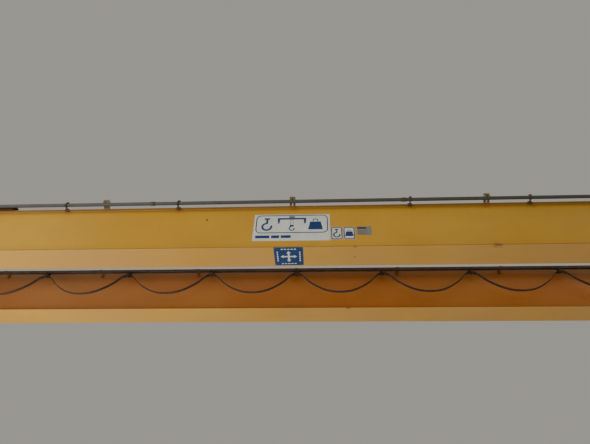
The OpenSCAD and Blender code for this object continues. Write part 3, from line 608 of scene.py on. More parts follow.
def addCable():
    # a flat rounded outline carried along the smooth route through the cord's own points
    c = cable
    x0, pitch, n = c["firstCarrier"], c["loopPitch"], c["loops"]
    stretches = [(c["towEnd"], 0)] + [(c["loop"], i) for i in range(n)] + [(c["feedEnd"], n)]
    line = smoothPath(np.concatenate([np.array(s) + [x0 + i * pitch, 0] for s, i in stretches]), c["perSpan"])
    path = np.stack([line[:, 0], np.full(len(line), c["railY"]), c["railZ"] + line[:, 1]], 1)
    outline = roundedRect(c["width"], c["thickness"], c["thickness"] * c["edge"], 5)
    flatSide = np.abs(outline[:, 1]) > c["thickness"] * 0.45
    outline[flatSide, 1] *= 1 - c["pressed"]             # thinner between its round edges
    piece = makePiece("festoon_flat_cable", [swept(path, outline)], "cable_sheath", ["festoon_cable"], 50)


carrier = {
    "roller": 0.0108, "hub": 0.004, "rollerWide": 0.009, "rim": 0.001, "rollerIn": 0.015,
    "rollerGap": 0.018, "rollerZ": 0.0142, "axle": 0.003, "neck": 0.010, "neckTop": 0.016,
    "bodyHalf": 0.030, "bodyLow": -0.023, "bodyHigh": -0.003, "bodyEdge": 0.004, "play": 0.002,
    "cheek": 0.005, "cheekHalf": 0.020, "cheekCorner": 0.010, "foot": -0.064, "crown": -0.0395,
    "shoulder": (0.047, -0.0615), "rise": 1.25, "saddleHalf": 0.052, "lip": (0.006, 0.014), "shell": 0.005,
    "narrowed": 0.97, "tube": 0.007, "tubeZ": -0.054, "web": 0.004, "pin": 0.006,
    "bumper": [(0.008, 0), (0.008, 0.004), (0.005, 0.006)],
}
carrierX = cable["firstCarrier"] + cable["loopPitch"] * np.arange(cable["loops"] + 1)
carrierX = np.append(carrierX, carrierX[-1] + cable["endClamp"])


def addCarriers():
    # rollers turned, body and cheeks as prisms, saddle as a bent plate along the cable's roof with its
    # lips turned down
    c = carrier
    cheekY = cable["width"] / 2 + c["play"]
    wide, rim, inner, gaps = c["rollerWide"], c["rim"], c["rollerIn"], (-c["rollerGap"], c["rollerGap"])
    tyre = [(c["hub"], 0), (c["roller"], rim), (c["roller"], wide - rim), (c["hub"], wide)]
    spots = [(dx, dy, c["rollerZ"]) for dx in gaps for dy in (-inner, inner - wide)]
    rollers = copies(turned(tyre, "y", count=20), spots)
    axles = copies(prism(ring(8, c["axle"]), -inner, inner, "y"), [(dx, 0, c["rollerZ"]) for dx in gaps])
    neck = slab((-c["cheekHalf"], -c["neck"] / 2, c["bodyLow"]),
                (c["cheekHalf"], c["neck"] / 2, c["neckTop"]), 0.002)
    body = slab((-c["bodyHalf"], -cheekY - c["cheek"], c["bodyLow"]),
                (c["bodyHalf"], cheekY + c["cheek"], c["bodyHigh"]), c["bodyEdge"])
    high, low = c["bodyHigh"] - 0.002, c["foot"]
    cheekOutline = roundedRect(2 * c["cheekHalf"], high - low, c["cheekCorner"])
    cheeks = [prism(cheekOutline, y, y + c["cheek"], "y", (0, 0, (high + low) / 2), 0.001)
              for y in (-cheekY - c["cheek"], cheekY)]
    arc = np.linspace(0, 1, 9)[1:]
    (sx, sz), half, (lipStart, lipEnd), crown = c["shoulder"], c["saddleHalf"], c["lip"], c["crown"]
    roof = np.concatenate([[(0, crown)], np.stack([sx * arc, crown + (sz - crown) * arc**c["rise"]], 1),
                           [(half - 0.002, sz - lipStart), (half, sz - lipEnd)]])
    upper = np.concatenate([roof[:0:-1] * [-1, 1], roof])
    lower = (upper - [0, c["shell"]]) * [c["narrowed"], 1]
    shell = prism(np.concatenate([upper, lower[::-1]]), -cheekY, cheekY, "y", bevel=0.0008)
    tube = prism(ring(16, c["tube"]), -cheekY, cheekY, "y", (0, 0, c["tubeZ"]))
    web = slab((-c["web"], -cheekY, c["tubeZ"] + 0.003), (c["web"], cheekY, crown - 0.003))
    pins = [aimed(bolt(c["pin"]), "y", s, (0, s * (cheekY + c["cheek"]), c["tubeZ"])) for s in (-1, 1)]
    bumpers = [turned(c["bumper"], "x", (s * c["bodyHalf"], 0, (c["bodyLow"] + c["bodyHigh"]) / 2), 12, s)
               for s in (-1, 1)]
    one = joined(rollers, axles, neck, body, *cheeks, shell, tube, web, *pins, *bumpers)
    places = [(x, cable["railY"], cable["railZ"]) for x in carrierX]
    makePiece("festoon_cable_carriers", [copies(one, places)], "carrier_steel", ["festoon_carriers"])
    print("carriers hung,", len(carrierX))


addCable()
addCarriers()


# Girder welds: fillets between webs and flanges, butt welds across the plates

girder = {
    "kneeX": 6.21, "seatX": 6.86, "bottomFlange": 0.010, "bead": 0.007,
    "webJoints": (-4.6, -1.56, 1.5, 4.55), "flangeJoints": (-3.85, 0.68, 2.2), "buttWide": 0.016,
    "buttHigh": 0.0015, "dome": [(-0.5, -0.3), (0.5, -0.3), (0.36, 0.55), (0, 1), (-0.36, 0.55)],
    "plugX": -1.007, "plugZ": 0.544,
    "plug": [(0.011, 0), (0.011, 0.003), (0.009, 0.005), (0.005, 0.005), (0.004, 0.003)],
}


def addGirderWelds():
    # a full fillet section carried along each corner, and a low round bead down each plate joint
    g = girder
    shapes, sheltered = [], []
    dome = np.array(g["dome"]) * [g["buttWide"], g["buttHigh"]]
    for place in ("front", "rear"):
        topLow, topHigh = corners(place + "_girder_top_flange")
        underLow = corners(place + "_girder_bottom_flange")[0][2]
        seatZ = corners("girder_end_plates")[0][2] - g["bottomFlange"]
        underside = [(-topHigh[0], seatZ), (-g["seatX"], seatZ), (-g["kneeX"], underLow),
                     (g["kneeX"], underLow), (g["seatX"], seatZ), (topHigh[0], seatZ)]
        for web in ("inner", "outer"):
            low, high = corners(f"{place}_girder_{web}_web")
            out = 1 if low[1] > (topLow[1] + topHigh[1]) / 2 else -1
            y = high[1] if out > 0 else low[1]
            bottom = [(x, y, z + g["bottomFlange"]) for x, z in underside]
            kept = sheltered if web == "inner" else shapes
            kept.append(swept(bottom, beadOutline(g["bead"], -out, 1)))
            top = [(low[0], y, high[2]), (high[0], y, high[2])]
            kept.append(swept(top, beadOutline(g["bead"], -out, -1)))
            z0, z1 = underLow + g["bottomFlange"] + g["bead"], high[2] - g["bead"]
            for x in g["webJoints"]:
                kept.append(swept(np.linspace((x, y, z0), (x, y, z1), 24), dome, up=(0, out, 0)))
        for x in g["flangeJoints"]:
            line = np.linspace((x, topLow[1], underLow), (x, topHigh[1], underLow), 12)
            shapes.append(swept(line, dome * [1, 0.5], up=(0, 0, -1)))
    makePiece("girder_weld_beads", shapes, "girder_enamel", sharpAngle=60)
    # the inner webs' beads take the inner webs' redder, darker enamel, which is painted shade
    makePiece("sheltered_weld_beads", sheltered, "girder_enamel", sharpAngle=60, finish="shaded_inner_web_enamel")
    plugY = corners("front_girder_outer_web")[0][1]
    makePiece("web_plug", [turned(g["plug"], "y", (g["plugX"], plugY, g["plugZ"]), 16, -1)], "rusty_steel")


rail = {"half": 0.020, "stitch": 0.060, "pitch": 0.200, "bead": 0.008, "endGap": 0.050}


def addRailWelds():
    # short fillets, round at their ends, every 200 mm along both sides of each rail bar
    low, high = corners("trolley_rails")
    shapes = []
    starts = np.arange(low[0] + rail["endGap"], high[0] - rail["stitch"], rail["pitch"])
    t = np.linspace(0, 1, 7)
    size = np.sqrt(np.clip(1 - (2 * t - 1) ** 6, 0.02, 1))
    line = np.column_stack([t * rail["stitch"], 0 * t, 0 * t])
    for node in ("front_girder_top_flange", "rear_girder_top_flange"):
        middle = sum(corners(node))[1] / 2
        for out in (-1, 1):
            bead = swept(line, beadOutline(rail["bead"], -out, 1), scale=size)
            shapes.append(copies(bead, [(x, middle + out * rail["half"], low[2]) for x in starts]))
    makePiece("rail_stitch_welds", shapes, "rusty_steel", sharpAngle=60)


seat = {
    "x": 7.0, "bolt": 0.016, "alongY": (-0.185, 0.185), "alongX": (-0.075, -0.025, 0.025, 0.075),
    "weldX": (-0.11, 0.10), "weldY": 0.1675, "bead": 0.010,
}


def addSeats():
    # eight bolts on each seat plate's lips, and a fillet round the girder's foot
    top = corners("girder_seat_plates")[1][2]
    feet = [(sx * seat["x"], sum(corners(side + "_girder_top_flange"))[1] / 2)
            for sx in (-1, 1) for side in ("front", "rear")]
    heads = [(x + dx, y + dy, top) for x, y in feet for dx in seat["alongX"] for dy in seat["alongY"]]
    makeFixings("girder_seat_bolts", [copies(bolt(seat["bolt"]), heads)])
    welds = [swept([(x + dx, y + out * seat["weldY"], top) for dx in seat["weldX"]],
                   beadOutline(seat["bead"], -out, 1)) for x, y in feet for out in (-1, 1)]
    makePiece("girder_seat_welds", welds, "girder_enamel", sharpAngle=60)


addGirderWelds()
addRailWelds()
addSeats()
print("girders welded")


# End carriages: bearing caps, buffers, seams and hand-hole covers

bearingCap = {
    "wheelY": 1.150, "wheelZ": 0.115, "faceOut": 7.110, "faceIn": 6.890,
    "cap": [(0.065, 0), (0.065, 0.012), (0.061, 0.016), (0.040, 0.016), (0.037, 0.012), (0.022, 0.012),
            (0.020, 0.016), (0.004, 0.016)],
    "nipple": [(0.004, 0.008), (0.004, 0.012), (0.003, 0.0155)],
    "bolt": 0.0065, "boltRing": 0.052, "boltTurn": 0.5, "boltZ": 0.0115,
}


def addBearingCaps():
    # turned cap with a raised middle, six bolts and a grease nipple
    b = bearingCap
    cap = joined(turned(b["cap"], count=48), turned(b["nipple"], count=8))
    circle = np.column_stack([ring(6, b["boltRing"], b["boltTurn"]), np.full(6, b["boltZ"])])
    bolts = copies(bolt(b["bolt"]), circle)
    ends = [(sx, (sx * b["faceOut"], sy * b["wheelY"], b["wheelZ"])) for sx in (-1, 1) for sy in (-1, 1)]
    ends += [(-sx, (sx * b["faceIn"], -b["wheelY"], b["wheelZ"])) for sx in (-1, 1)]
    makePiece("turned_bearing_caps", [aimed(cap, "x", out, place) for out, place in ends], "machine_grey",
              ["wheel_bearing_caps"])
    makeFixings("bearing_cap_bolts", [aimed(bolts, "x", out, place) for out, place in ends])


buffer = {
    "x": 7.0, "radius": 0.055, "length": 0.080, "waist": 0.046, "waistZ": (0.018, 0.032, 0.044, 0.056),
    "noseIn": 0.018, "noseL": 0.016, "dimple": (0.012, 0.010, 0.006), "plate": 0.150, "plateT": 0.008,
    "plateCorner": 0.012, "bolt": 0.010, "boltAt": 0.060,
}


def addBuffers():
    # rubber body turned with a waist and a nose of a quarter turn, on a square plate with four bolts
    b = buffer
    t = np.linspace(0, 1, 7)
    nose = np.column_stack([b["radius"] - b["noseIn"] * (1 - np.cos(t * math.pi / 2)),
                            b["length"] - b["noseL"] + b["noseL"] * np.sin(t * math.pi / 2)])
    radii = (b["radius"], b["waist"], b["waist"], b["radius"])
    waist = [(b["radius"], b["plateT"]), *zip(radii, b["waistZ"])]
    rim, hole, depth = b["dimple"]
    body = turned(np.concatenate([waist, nose, [(rim, b["length"]), (hole, b["length"] - depth)]]), count=40)
    plate = joined(prism(roundedRect(b["plate"], b["plate"], b["plateCorner"]), 0, b["plateT"], bevel=0.001),
                   copies(bolt(b["bolt"]), fourSpots(b["boltAt"], b["boltAt"], b["plateT"])))
    low, high = corners("carriage_buffers")
    ends = [(sy, (sx * b["x"], sy * (high[1] - b["length"]), (low[2] + high[2]) / 2))
            for sx in (-1, 1) for sy in (-1, 1)]
    makePiece("rubber_buffers", [aimed(body, "y", sy, place) for sy, place in ends], "buffer_rubber",
              ["carriage_buffers"])
    makeFixings("buffer_plates", [aimed(plate, "y", sy, place) for sy, place in ends])


carriage = {
    "seam": 0.004, "seamGap": 0.01, "cover": (0.150, 0.110), "coverCorner": 0.015, "coverT": 0.004,
    "coverY": 0.62, "coverZ": 0.205, "bolt": 0.008, "boltAt": (0.060, 0.040),
}


def addCarriageDetails():
    # a round seam along each long corner of the plates, and a bolted hand-hole cover on the inner side
    c = carriage
    shapes, heads = [], []
    cover = prism(roundedRect(*c["cover"], c["coverCorner"]), 0, c["coverT"], bevel=0.0008)
    four = copies(bolt(c["bolt"]), fourSpots(*c["boltAt"], c["coverT"]))
    for side, inward in (("left", 1), ("right", -1)):
        low, high = corners(side + "_end_carriage")
        face = high[0] if inward > 0 else low[0]
        for x in (low[0], high[0]):
            for z in (low[2], high[2]):
                line = [(x, low[1] + c["seamGap"], z), (x, high[1] - c["seamGap"], z)]
                shapes.append(swept(line, ring(8, c["seam"])))
        for y in (-c["coverY"], c["coverY"]):
            shapes.append(aimed(cover, "x", inward, (face, y, c["coverZ"])))
            heads.append(aimed(four, "x", inward, (face, y, c["coverZ"])))
    makePiece("carriage_seams_and_covers", shapes, "carriage_enamel", sharpAngle=50)
    makeFixings("carriage_cover_bolts", heads)


addBearingCaps()
addBuffers()
addCarriageDetails()
print("end carriages dressed")


# Electric motors and gear units

motorShape = {
    "finRoot": 0.84, "finSteps": [-0.16, 0.16, 0.34, 0.66], "shield": 0.12,
    # the end shields as (part of the motor's radius, part of a shield's length)
    "front": [(1, 0), (1, 0.5), (0.93, 1), (0.5, 1)], "back": [(0.6, 1), (0.96, 1), (0.96, 0), (0.6, 0)],
    # slots turned in the cowl's end, as parts of its radius: their outer edges, and (step, depth) of one
    "slots": (0.79, 0.57, 0.35), "slot": [(0.01, 0), (0, 0.004), (-0.09, 0.004), (-0.10, 0)],
    "spokes": 8, "spokeHalf": 0.003,
}


def finnedMotor(radius, length, cowlRadius, cowlLength, fins):
    # fins are an outline whose radius steps in and out; shields and cowl are turned; it stands on z = 0
    m = motorShape
    finRadius = radius * np.tile([1, 1, m["finRoot"], m["finRoot"]], fins)
    angle = (np.tile(m["finSteps"], fins) + np.repeat(np.arange(fins), 4)) * 2 * math.pi / fins
    fin = finRadius[:, None] * np.stack([np.cos(angle), np.sin(angle)], 1)
    shield, end = m["shield"] * length, length + cowlLength
    core = prism(fin, shield * 0.7, length - shield * 0.5)
    front = turned([(radius * r, shield * z) for r, z in m["front"]], count=40)
    back = turned([(radius * r, length - shield * z) for r, z in m["back"]], count=40)
    slots = [(edge + step, depth) for edge in m["slots"] for step, depth in m["slot"]]
    cowl = turned([(cowlRadius * 0.93, length - 0.01), (cowlRadius, length - 0.01), (cowlRadius, end - 0.014),
                   *[(cowlRadius * r, end - d) for r, d in ((0.96, 0.004), (0.90, 0), *slots, (0.05, 0))]],
                  count=40)
    spoke = slab((cowlRadius * 0.2, -m["spokeHalf"], end - 0.0035),
                 (cowlRadius * 0.86, m["spokeHalf"], end - 0.0005))
    spokes = [spun(spoke, i * 360 / m["spokes"], axis=2) for i in range(m["spokes"])]
    return joined(core, front, back, cowl, *spokes)


terminal = {
    "lidAt": 0.72, "overhang": 0.006, "corner": 0.010, "screw": 0.004, "screwIn": 0.010, "glandAt": 0.36,
    "nut": (0.014, 0.010), "cap": [(0.012, 0.010), (0.012, 0.020), (0.008, 0.026), (0.006, 0.026)],
}


def terminalBox(width, depth, height):
    # cast box with an overhanging screwed lid and a cable gland at its end, standing on z = 0
    t = terminal
    lidZ, wider = height * t["lidAt"], t["overhang"]
    body = prism(roundedRect(width, depth, t["corner"]), 0, lidZ, bevel=0.001)
    lid = prism(roundedRect(width + wider, depth + wider, t["corner"] + 0.002), lidZ, height - 0.004,
                bevel=0.003)
    spots = fourSpots(width / 2 - t["screwIn"], depth / 2 - t["screwIn"], height - 0.0045)
    end = (-width / 2, 0, height * t["glandAt"])
    nut = aimed(prism(ring(6, t["nut"][0]), 0, t["nut"][1], bevel=0.001), "x", -1, end)
    cap = aimed(turned(t["cap"], count=16), "x", -1, end)
    return joined(body, lid, copies(screw(t["screw"]), spots), nut, cap)


def motorWithBox(drive, axis, sign, place):
    # the motor out along the axis from the place, and its terminal box on top of it
    out = sign * drive["boxAt"] * np.array([axis == "x", axis == "y", 0])
    return (aimed(finnedMotor(*drive["motor"]), axis, sign, place),
            moved(terminalBox(*drive["box"]), out + place + [0, 0, drive["motor"][0] - drive["boxSink"]]))


gearCase = {
    "shoulder": 0.35, "wall": 0.006, "splitAt": 0.40, "flange": 0.014, "foot": 0.012, "bolt": 0.006,
    "boltIn": 0.008, "ribs": (0.62, 0.78), "rib": 0.005, "plug": 0.009,
}


def gearOutline(half, top, count=24):
    # half circle below, rounded shoulders above, round the output shaft at the origin
    lower = ring(2 * count, half, math.pi)[:count + 1]
    r = half * gearCase["shoulder"]
    right = arcPoints(r, 0, math.pi / 2, 5, (half - r, top - r))
    return np.concatenate([lower, right, (right * [-1, 1])[::-1]])


def gearUnit(half, top, depth):
    # two castings bolted at a flange, with stiffening ribs and an oil plug, standing on z = 0
    g = gearCase
    outline, split = gearOutline(half, top), depth * g["splitAt"]
    body = prism(inset(outline, g["wall"]), 0.004, depth - 0.004, bevel=0.005)
    flange = prism(outline, split, split + g["flange"], bevel=0.001)
    foot = prism(outline, 0, g["foot"], bevel=0.001)
    around = inset(outline, g["boltIn"])[::4]
    heads = copies(bolt(g["bolt"]), np.column_stack([around, np.full(len(around), split + g["flange"])]))
    ribs = [prism(inset(outline, 0.002), depth * f, depth * f + g["rib"], bevel=0.0005) for f in g["ribs"]]
    plug = aimed(bolt(g["plug"]), "x", 1, (half - g["wall"], -half * 0.1, depth * 0.2))
    return joined(body, flange, foot, heads, *ribs, plug)


travelDrive = {
    "face": 6.890, "y": 1.150, "wheelZ": 0.115, "half": 0.075, "top": 0.120, "depth": 0.110,
    "motorZ": 0.170, "motor": (0.075, 0.280, 0.080, 0.060, 30), "box": (0.110, 0.090, 0.062),
    "boxAt": 0.105, "boxSink": 0.012,
}


def addTravelDrives():
    # gear unit on the carriage's inner side and its motor, along X; the right one is the left one mirrored
    d = travelDrive
    gear = aimed(gearUnit(d["half"], d["top"], d["depth"]), "x", 1, (-d["face"], d["y"], d["wheelZ"]))
    one = joined(gear, *motorWithBox(d, "x", 1, (-d["face"] + d["depth"], d["y"], d["motorZ"])))
    makePiece("left_travel_gearmotor", [one], "machine_grey", ["left_travel_drive"])
    makePiece("right_travel_gearmotor", [moved(one, flip=(-1, 1, 1))], "machine_grey", ["right_travel_drive"])


addTravelDrives()


# Trolley and hoist

trolley = {
    "x": -5.410, "base": 1.100, "railY": 0.600, "sideW": 0.110, "wheelZ": 0.855,
    "keeper": (0.060, 0.026, 0.004, 0.006), "keeperUp": 0.028, "keeperBolt": (0.007, 0.021),
    "axleEnd": [(0.0195, 0), (0.0195, 0.008), (0.017, 0.0098), (0.003, 0.0098)],
    "beamX": (-6.160, -6.060, -4.760, -4.660), "beamZ": (0.836, 0.974), "seam": 0.006,
    "cover": (0.090, 0.150, 0.010), "coverT": 0.005, "coverZ": 0.895,
}
trolleyDrive = {
    "y": 0.545, "half": 0.065, "top": 0.120, "depth": 0.090, "motorUp": 0.055,
    "motor": (0.060, 0.230, 0.064, 0.040, 24), "box": (0.080, 0.080, 0.040), "boxAt": 0.100,
    "boxSink": 0.008,
}


def addTrolleyDrive():
    # gear unit on the drive wheel's axle, its motor and terminal box pointing inwards along Y
    d = trolleyDrive
    x, z = trolley["x"] + trolley["base"] / 2, trolley["wheelZ"]
    gear = aimed(gearUnit(d["half"], d["top"], d["depth"]), "y", -1, (x, d["y"], z))
    motor = motorWithBox(d, "y", -1, (x, d["y"] - d["depth"], z + d["motorUp"]))
    makePiece("trolley_gearmotor", [gear, *motor], "machine_grey", ["trolley_drive"])


def addTrolleyDetails():
    # round seams at the beam joints, end covers, and a keeper plate with two bolts at each axle end
    t = trolley
    low, high = corners("trolley_frame")
    width, height, corner, thick = t["keeper"]
    size, apart = t["keeperBolt"]
    keeper = joined(prism(roundedRect(width, height, corner), 0, thick, bevel=0.0006),
                    copies(bolt(size), [(-apart, 0, thick), (apart, 0, thick)]))
    end = joined(moved(keeper, (0, t["keeperUp"], 0)), turned(t["axleEnd"], count=28))
    cover = prism(roundedRect(*t["cover"]), 0, t["coverT"], bevel=0.0006)
    shapes, seams = [], []
    for out in (-1, 1):
        y, half = out * t["railY"], t["sideW"] / 2
        for sx in (-1, 1):
            shapes.append(aimed(end, "y", out, (t["x"] + sx * t["base"] / 2, y + out * half, t["wheelZ"])))
        seams += [swept([(x, y - out * half, z) for z in t["beamZ"]], ring(8, t["seam"]), up=(1, 0, 0))
                  for x in t["beamX"]]
    for y in (-t["railY"], t["railY"]):
        seams += [aimed(cover, "x", out, (x - out * (t["coverT"] - 0.0001), y, t["coverZ"]))
                  for x, out in ((low[0], -1), (high[0], 1))]
    makeFixings("trolley_axle_keepers", shapes)
    makePiece("trolley_seams_and_covers", seams, "carriage_enamel", sharpAngle=50)


hoist = {
    "z": 1.135, "base": 0.985, "hookY": -0.040, "fallOff": 0.045, "ropeR": 0.006, "ropePitch": 0.0135,
    "ropeDip": 0.80, "lay": 0.078, "layStep": 0.008, "drumR": 0.150, "drumHalf": 0.430, "flangeR": 0.180,
    "flangeT": 0.014, "shaftR": 0.035, "shaftY": (-0.640, 0.500), "ropeMargin": 0.030,
    "clamp": (0.040, 0.026, 0.005), "clampT": 0.012, "clampBolt": 0.007, "clampIn": 0.018,
    "clampTurns": (-30, 0, 30), "gearY": 0.500, "motorX": -5.080, "motor": (0.110, 0.420, 0.117, 0.070, 40),
    "box": (0.140, 0.140, 0.065), "boxAt": 0.230, "boxSink": 0.012, "anchorZ": 0.835,
    "socket": [(0.009, 0.700), (0.013, 0.710), (0.018, 0.790), (0.018, 0.834), (0.009, 0.834)],
}
block = {
    "z": 0.470, "sheaveR": 0.125, "half": 0.075, "plate": 0.010, "bottom": 0.295, "guardR": 0.146,
    "footHalf": 0.060,
    # one half of a sheave from its hub to the bottom of its groove, as (radius, distance from the middle)
    "groove": [(0.030, 0.0145), (0.050, 0.0145), (0.055, 0.008), (0.118, 0.008), (0.122, 0.0145),
               (0.136, 0.0145), (0.1362, 0.012), (0.128, 0.007), (0.1195, 0.0055), (0.1188, 0)],
    "pin": 0.029, "nut": 0.030, "boss": [(0.050, 0), (0.050, 0.006), (0.046, 0.008), (0.030, 0.008)],
    "crosshead": (0.055, 0.036), "bolt": 0.009, "footBolts": (0.040, 0.018),
    "spacers": [(-0.115, 0.05), (0.115, 0.05), (-0.115, -0.045), (0.115, -0.045)],
}
dropX = trolley["x"] - hoist["drumR"] - hoist["ropeR"]
sheaveX = dropX + block["sheaveR"]


def ropeOutline(strands=6):
    # six strands seen end on: the radius dips between them
    radius = hoist["ropeR"] * np.tile([1.0, hoist["ropeDip"]], strands)
    return radius[:, None] * ring(strands * 2)


def addDrum():
    # barrel turned with its flanges, and the rope wound on it in two helices that meet at the falls;
    # flange is its outline from the outer face to the barrel, as (radius, distance from the inner face)
    h, x = hoist, trolley["x"]
    y0, y1 = h["hookY"] - h["drumHalf"], h["hookY"] + h["drumHalf"]
    r, f, t, shaft, edge = h["drumR"], h["flangeR"], h["flangeT"], h["shaftR"], 0.002
    flange = [(f * 0.98, t), (f, t - edge), (f, edge), (f * 0.98, 0), (r, 0)]
    profile = [(shaft, h["shaftY"][0]), (shaft, y0 - t), *[(a, y0 - b) for a, b in flange],
               *[(a, y1 + b) for a, b in flange[::-1]], (shaft, y1 + t), (shaft, h["shaftY"][1])]
    shapes = [turned(profile, "y", (x, 0, h["z"]), 96)]
    plate = joined(prism(roundedRect(*h["clamp"]), 0, h["clampT"], bevel=0.001),
                   moved(bolt(h["clampBolt"]), (0, 0, h["clampT"])))
    for end, sign in ((y0, 1), (y1, -1)):
        upright = moved(plate, (0, sign * h["clampIn"], r + 0.004))
        shapes += [moved(spun(upright, turn), (x, end, h["z"])) for turn in h["clampTurns"]]
    makePiece("grooved_rope_drum", shapes, "wheel_steel", ["hoist_drum"])
    centre = r + h["ropeR"]
    turns = (h["drumHalf"] - h["fallOff"] - h["ropeMargin"]) / h["ropePitch"]
    angle = np.linspace(0, turns * 2 * math.pi, int(turns * 72))
    wound = []
    for sign in (-1, 1):
        y = h["hookY"] + sign * (h["fallOff"] + angle / (2 * math.pi) * h["ropePitch"])
        path = np.stack([x - centre * np.cos(angle), y, h["z"] + centre * np.sin(angle)], 1)
        wound.append(swept(path, ropeOutline(), up=(0, 1, 0), turn=angle * centre * 2 * math.pi / h["lay"]))
    makePiece("wound_hoist_rope", wound, "rope_wire", sharpAngle=80)


def addRopes():
    # the lobed rope section, rolled once in every lay, from the drum round each sheave up to its anchor
    h, b = hoist, block
    step, deadX = h["layStep"], dropX + 2 * b["sheaveR"]
    down, up = np.arange(h["z"], b["z"], -step), np.arange(b["z"] + step, h["anchorZ"], step)
    x, z = np.concatenate([np.column_stack([np.full(len(down), dropX), down]),
                           arcPoints(b["sheaveR"], math.pi, 2 * math.pi, 60, (sheaveX, b["z"])),
                           np.column_stack([np.full(len(up), deadX), up])]).T
    run = np.concatenate([[0], np.cumsum(np.hypot(np.diff(x), np.diff(z)))])
    shapes, ends = [], []
    for sign in (-1, 1):
        y = h["hookY"] + sign * h["fallOff"]
        path = np.column_stack([x, np.full(len(x), y), z])
        shapes.append(swept(path, ropeOutline(), up=(0, 1, 0), turn=run * 2 * math.pi / h["lay"]))
        ends.append(turned(h["socket"], "z", (deadX, y, 0), 24))
    makePiece("laid_hoist_ropes", shapes, "rope_wire", ["hoist_ropes"], 80)
    makeFixings("rope_wedge_sockets", ends)


def guardOutline(radius, drop, half, count=30):
    # the sheave guard's outline: a circle drawn down to a narrower foot
    start = math.asin(half / radius)
    circle = arcPoints(radius, -math.pi / 2 + start, 1.5 * math.pi - start, count)
    foot = [[-half, drop + 0.02], [-half + 0.02, drop], [half - 0.02, drop], [half, drop + 0.02]]
    return np.concatenate([circle[circle[:, 1] > -radius * 0.45], foot])


def addHookBlock():
    # grooved sheaves turned, guards as bevelled plates, a pin with nuts and a forged crosshead
    b = block
    half, drop = b["half"], b["bottom"] - b["z"]
    centre = np.array([sheaveX, hoist["hookY"], b["z"]])
    groove = [(r, -w) for r, w in b["groove"]] + b["groove"][-2::-1]
    sheaves = [turned(groove, "y", centre + [0, s * hoist["fallOff"], 0], 64) for s in (-1, 1)]
    pin = prism(ring(32, b["pin"]), -half - 0.010, half + 0.010, "y", centre, 0.002)
    makePiece("hook_block_sheaves", [*sheaves, pin], "wheel_steel", ["hook_block"])
    outline = guardOutline(b["guardR"], drop, b["footHalf"])
    shapes = [prism(outline, y, y + b["plate"], "y", centre, 0.002) for y in (-half, half - b["plate"])]
    for s in (-1, 1):
        shapes.append(prism(inset(outline, 0.018), -0.0015, 0.0015, "y", centre + [0, s * (half + 0.001), 0]))
        shapes.append(turned(b["boss"], "y", centre + [0, s * (half - 0.001), 0], 40, s))
    wide, tall = b["crosshead"]
    shapes.append(slab(centre + [-wide, -half + 0.010, drop],
                       centre + [wide, half - 0.010, drop + tall], 0.008))
    makePiece("hook_block_guards", shapes, "block_enamel")
    apart, up = b["footBolts"]
    heads = [aimed(bolt(b["bolt"]), "y", s, centre + [dx, s * half, dz])
             for dx, dz in [(-apart, drop + up), (apart, drop + up), *b["spacers"]] for s in (-1, 1)]
    nuts = [aimed(bolt(b["nut"]), "y", s, centre + [0, s * (half - 0.002), 0]) for s in (-1, 1)]
    spacers = [prism(ring(14, b["bolt"]), -half + 0.008, half - 0.008, "y", centre + [dx, 0, dz])
               for dx, dz in b["spacers"]]
    makeFixings("hook_block_pins", [*heads, *nuts, *spacers])


hookShape = {
    "bowl": 0.062, "opened": 0.008, "shank": 0.021, "thick": 0.024, "tip": 0.009, "top": 0.305, "drop": 0.150,
    "flat": 0.80, "collar": [(0.022, 0.262), (0.039, 0.266), (0.039, 0.292), (0.034, 0.296), (0.021, 0.296)],
    # the latch leaf as (x, z) from the bowl's middle
    "leaf": [(0.024, 0.074), (0.044, 0.056), (0.058, 0.034), (0.063, 0.022)],
    "leafSize": (0.024, 0.003, 0.0012), "eye": (0.009, 0.012),
}


def addHook():
    # one forging: the section grows from the shank to the bowl's bottom and thins to the tip; then a latch
    s = hookShape
    x, y, bowlZ = sheaveX, hoist["hookY"], s["top"] - s["drop"]
    arc = np.linspace(math.pi / 2, 2 * math.pi + 0.28, 72)
    radius = s["bowl"] + s["opened"] * np.clip((arc - 5.4) / 1.2, 0, 1)
    bowl = np.column_stack([radius * np.cos(arc), radius * np.sin(arc)])
    neck = np.column_stack([np.zeros(8), np.linspace(s["top"] - bowlZ, s["bowl"] + 0.012, 8)])
    flat = np.concatenate([neck, bowl[3:]])
    grow = np.interp(arc, [math.pi / 2, 2.6, 4.4, 5.6, 6.2, arc[-1]],
                     [s["shank"], s["shank"], s["thick"], s["thick"] * 0.9, s["thick"] * 0.6, s["tip"]])
    size = np.concatenate([np.full(8, s["shank"]), grow[3:]])
    path = np.column_stack([x + flat[:, 0], np.full(len(flat), y), bowlZ + flat[:, 1]])
    forging = swept(path, ring(24) * [s["flat"], 1.0], up=(0, 1, 0), scale=size)
    makePiece("forged_hook", [forging, turned(s["collar"], "z", (x, y, 0), 36)], "hook_steel", ["hook"], 50)
    leaf = smoothPath([(x + dx, y, bowlZ + dz) for dx, dz in s["leaf"]], 6)
    latch = swept(leaf, roundedRect(*s["leafSize"], 3), up=(0, 1, 0), turn=np.full(len(leaf), math.pi / 2))
    radius, half = s["eye"]
    eye = turned([(radius, -half), (radius, half)], "y", leaf[0], 16)
    makeFixings("hook_safety_latch", [latch, eye])


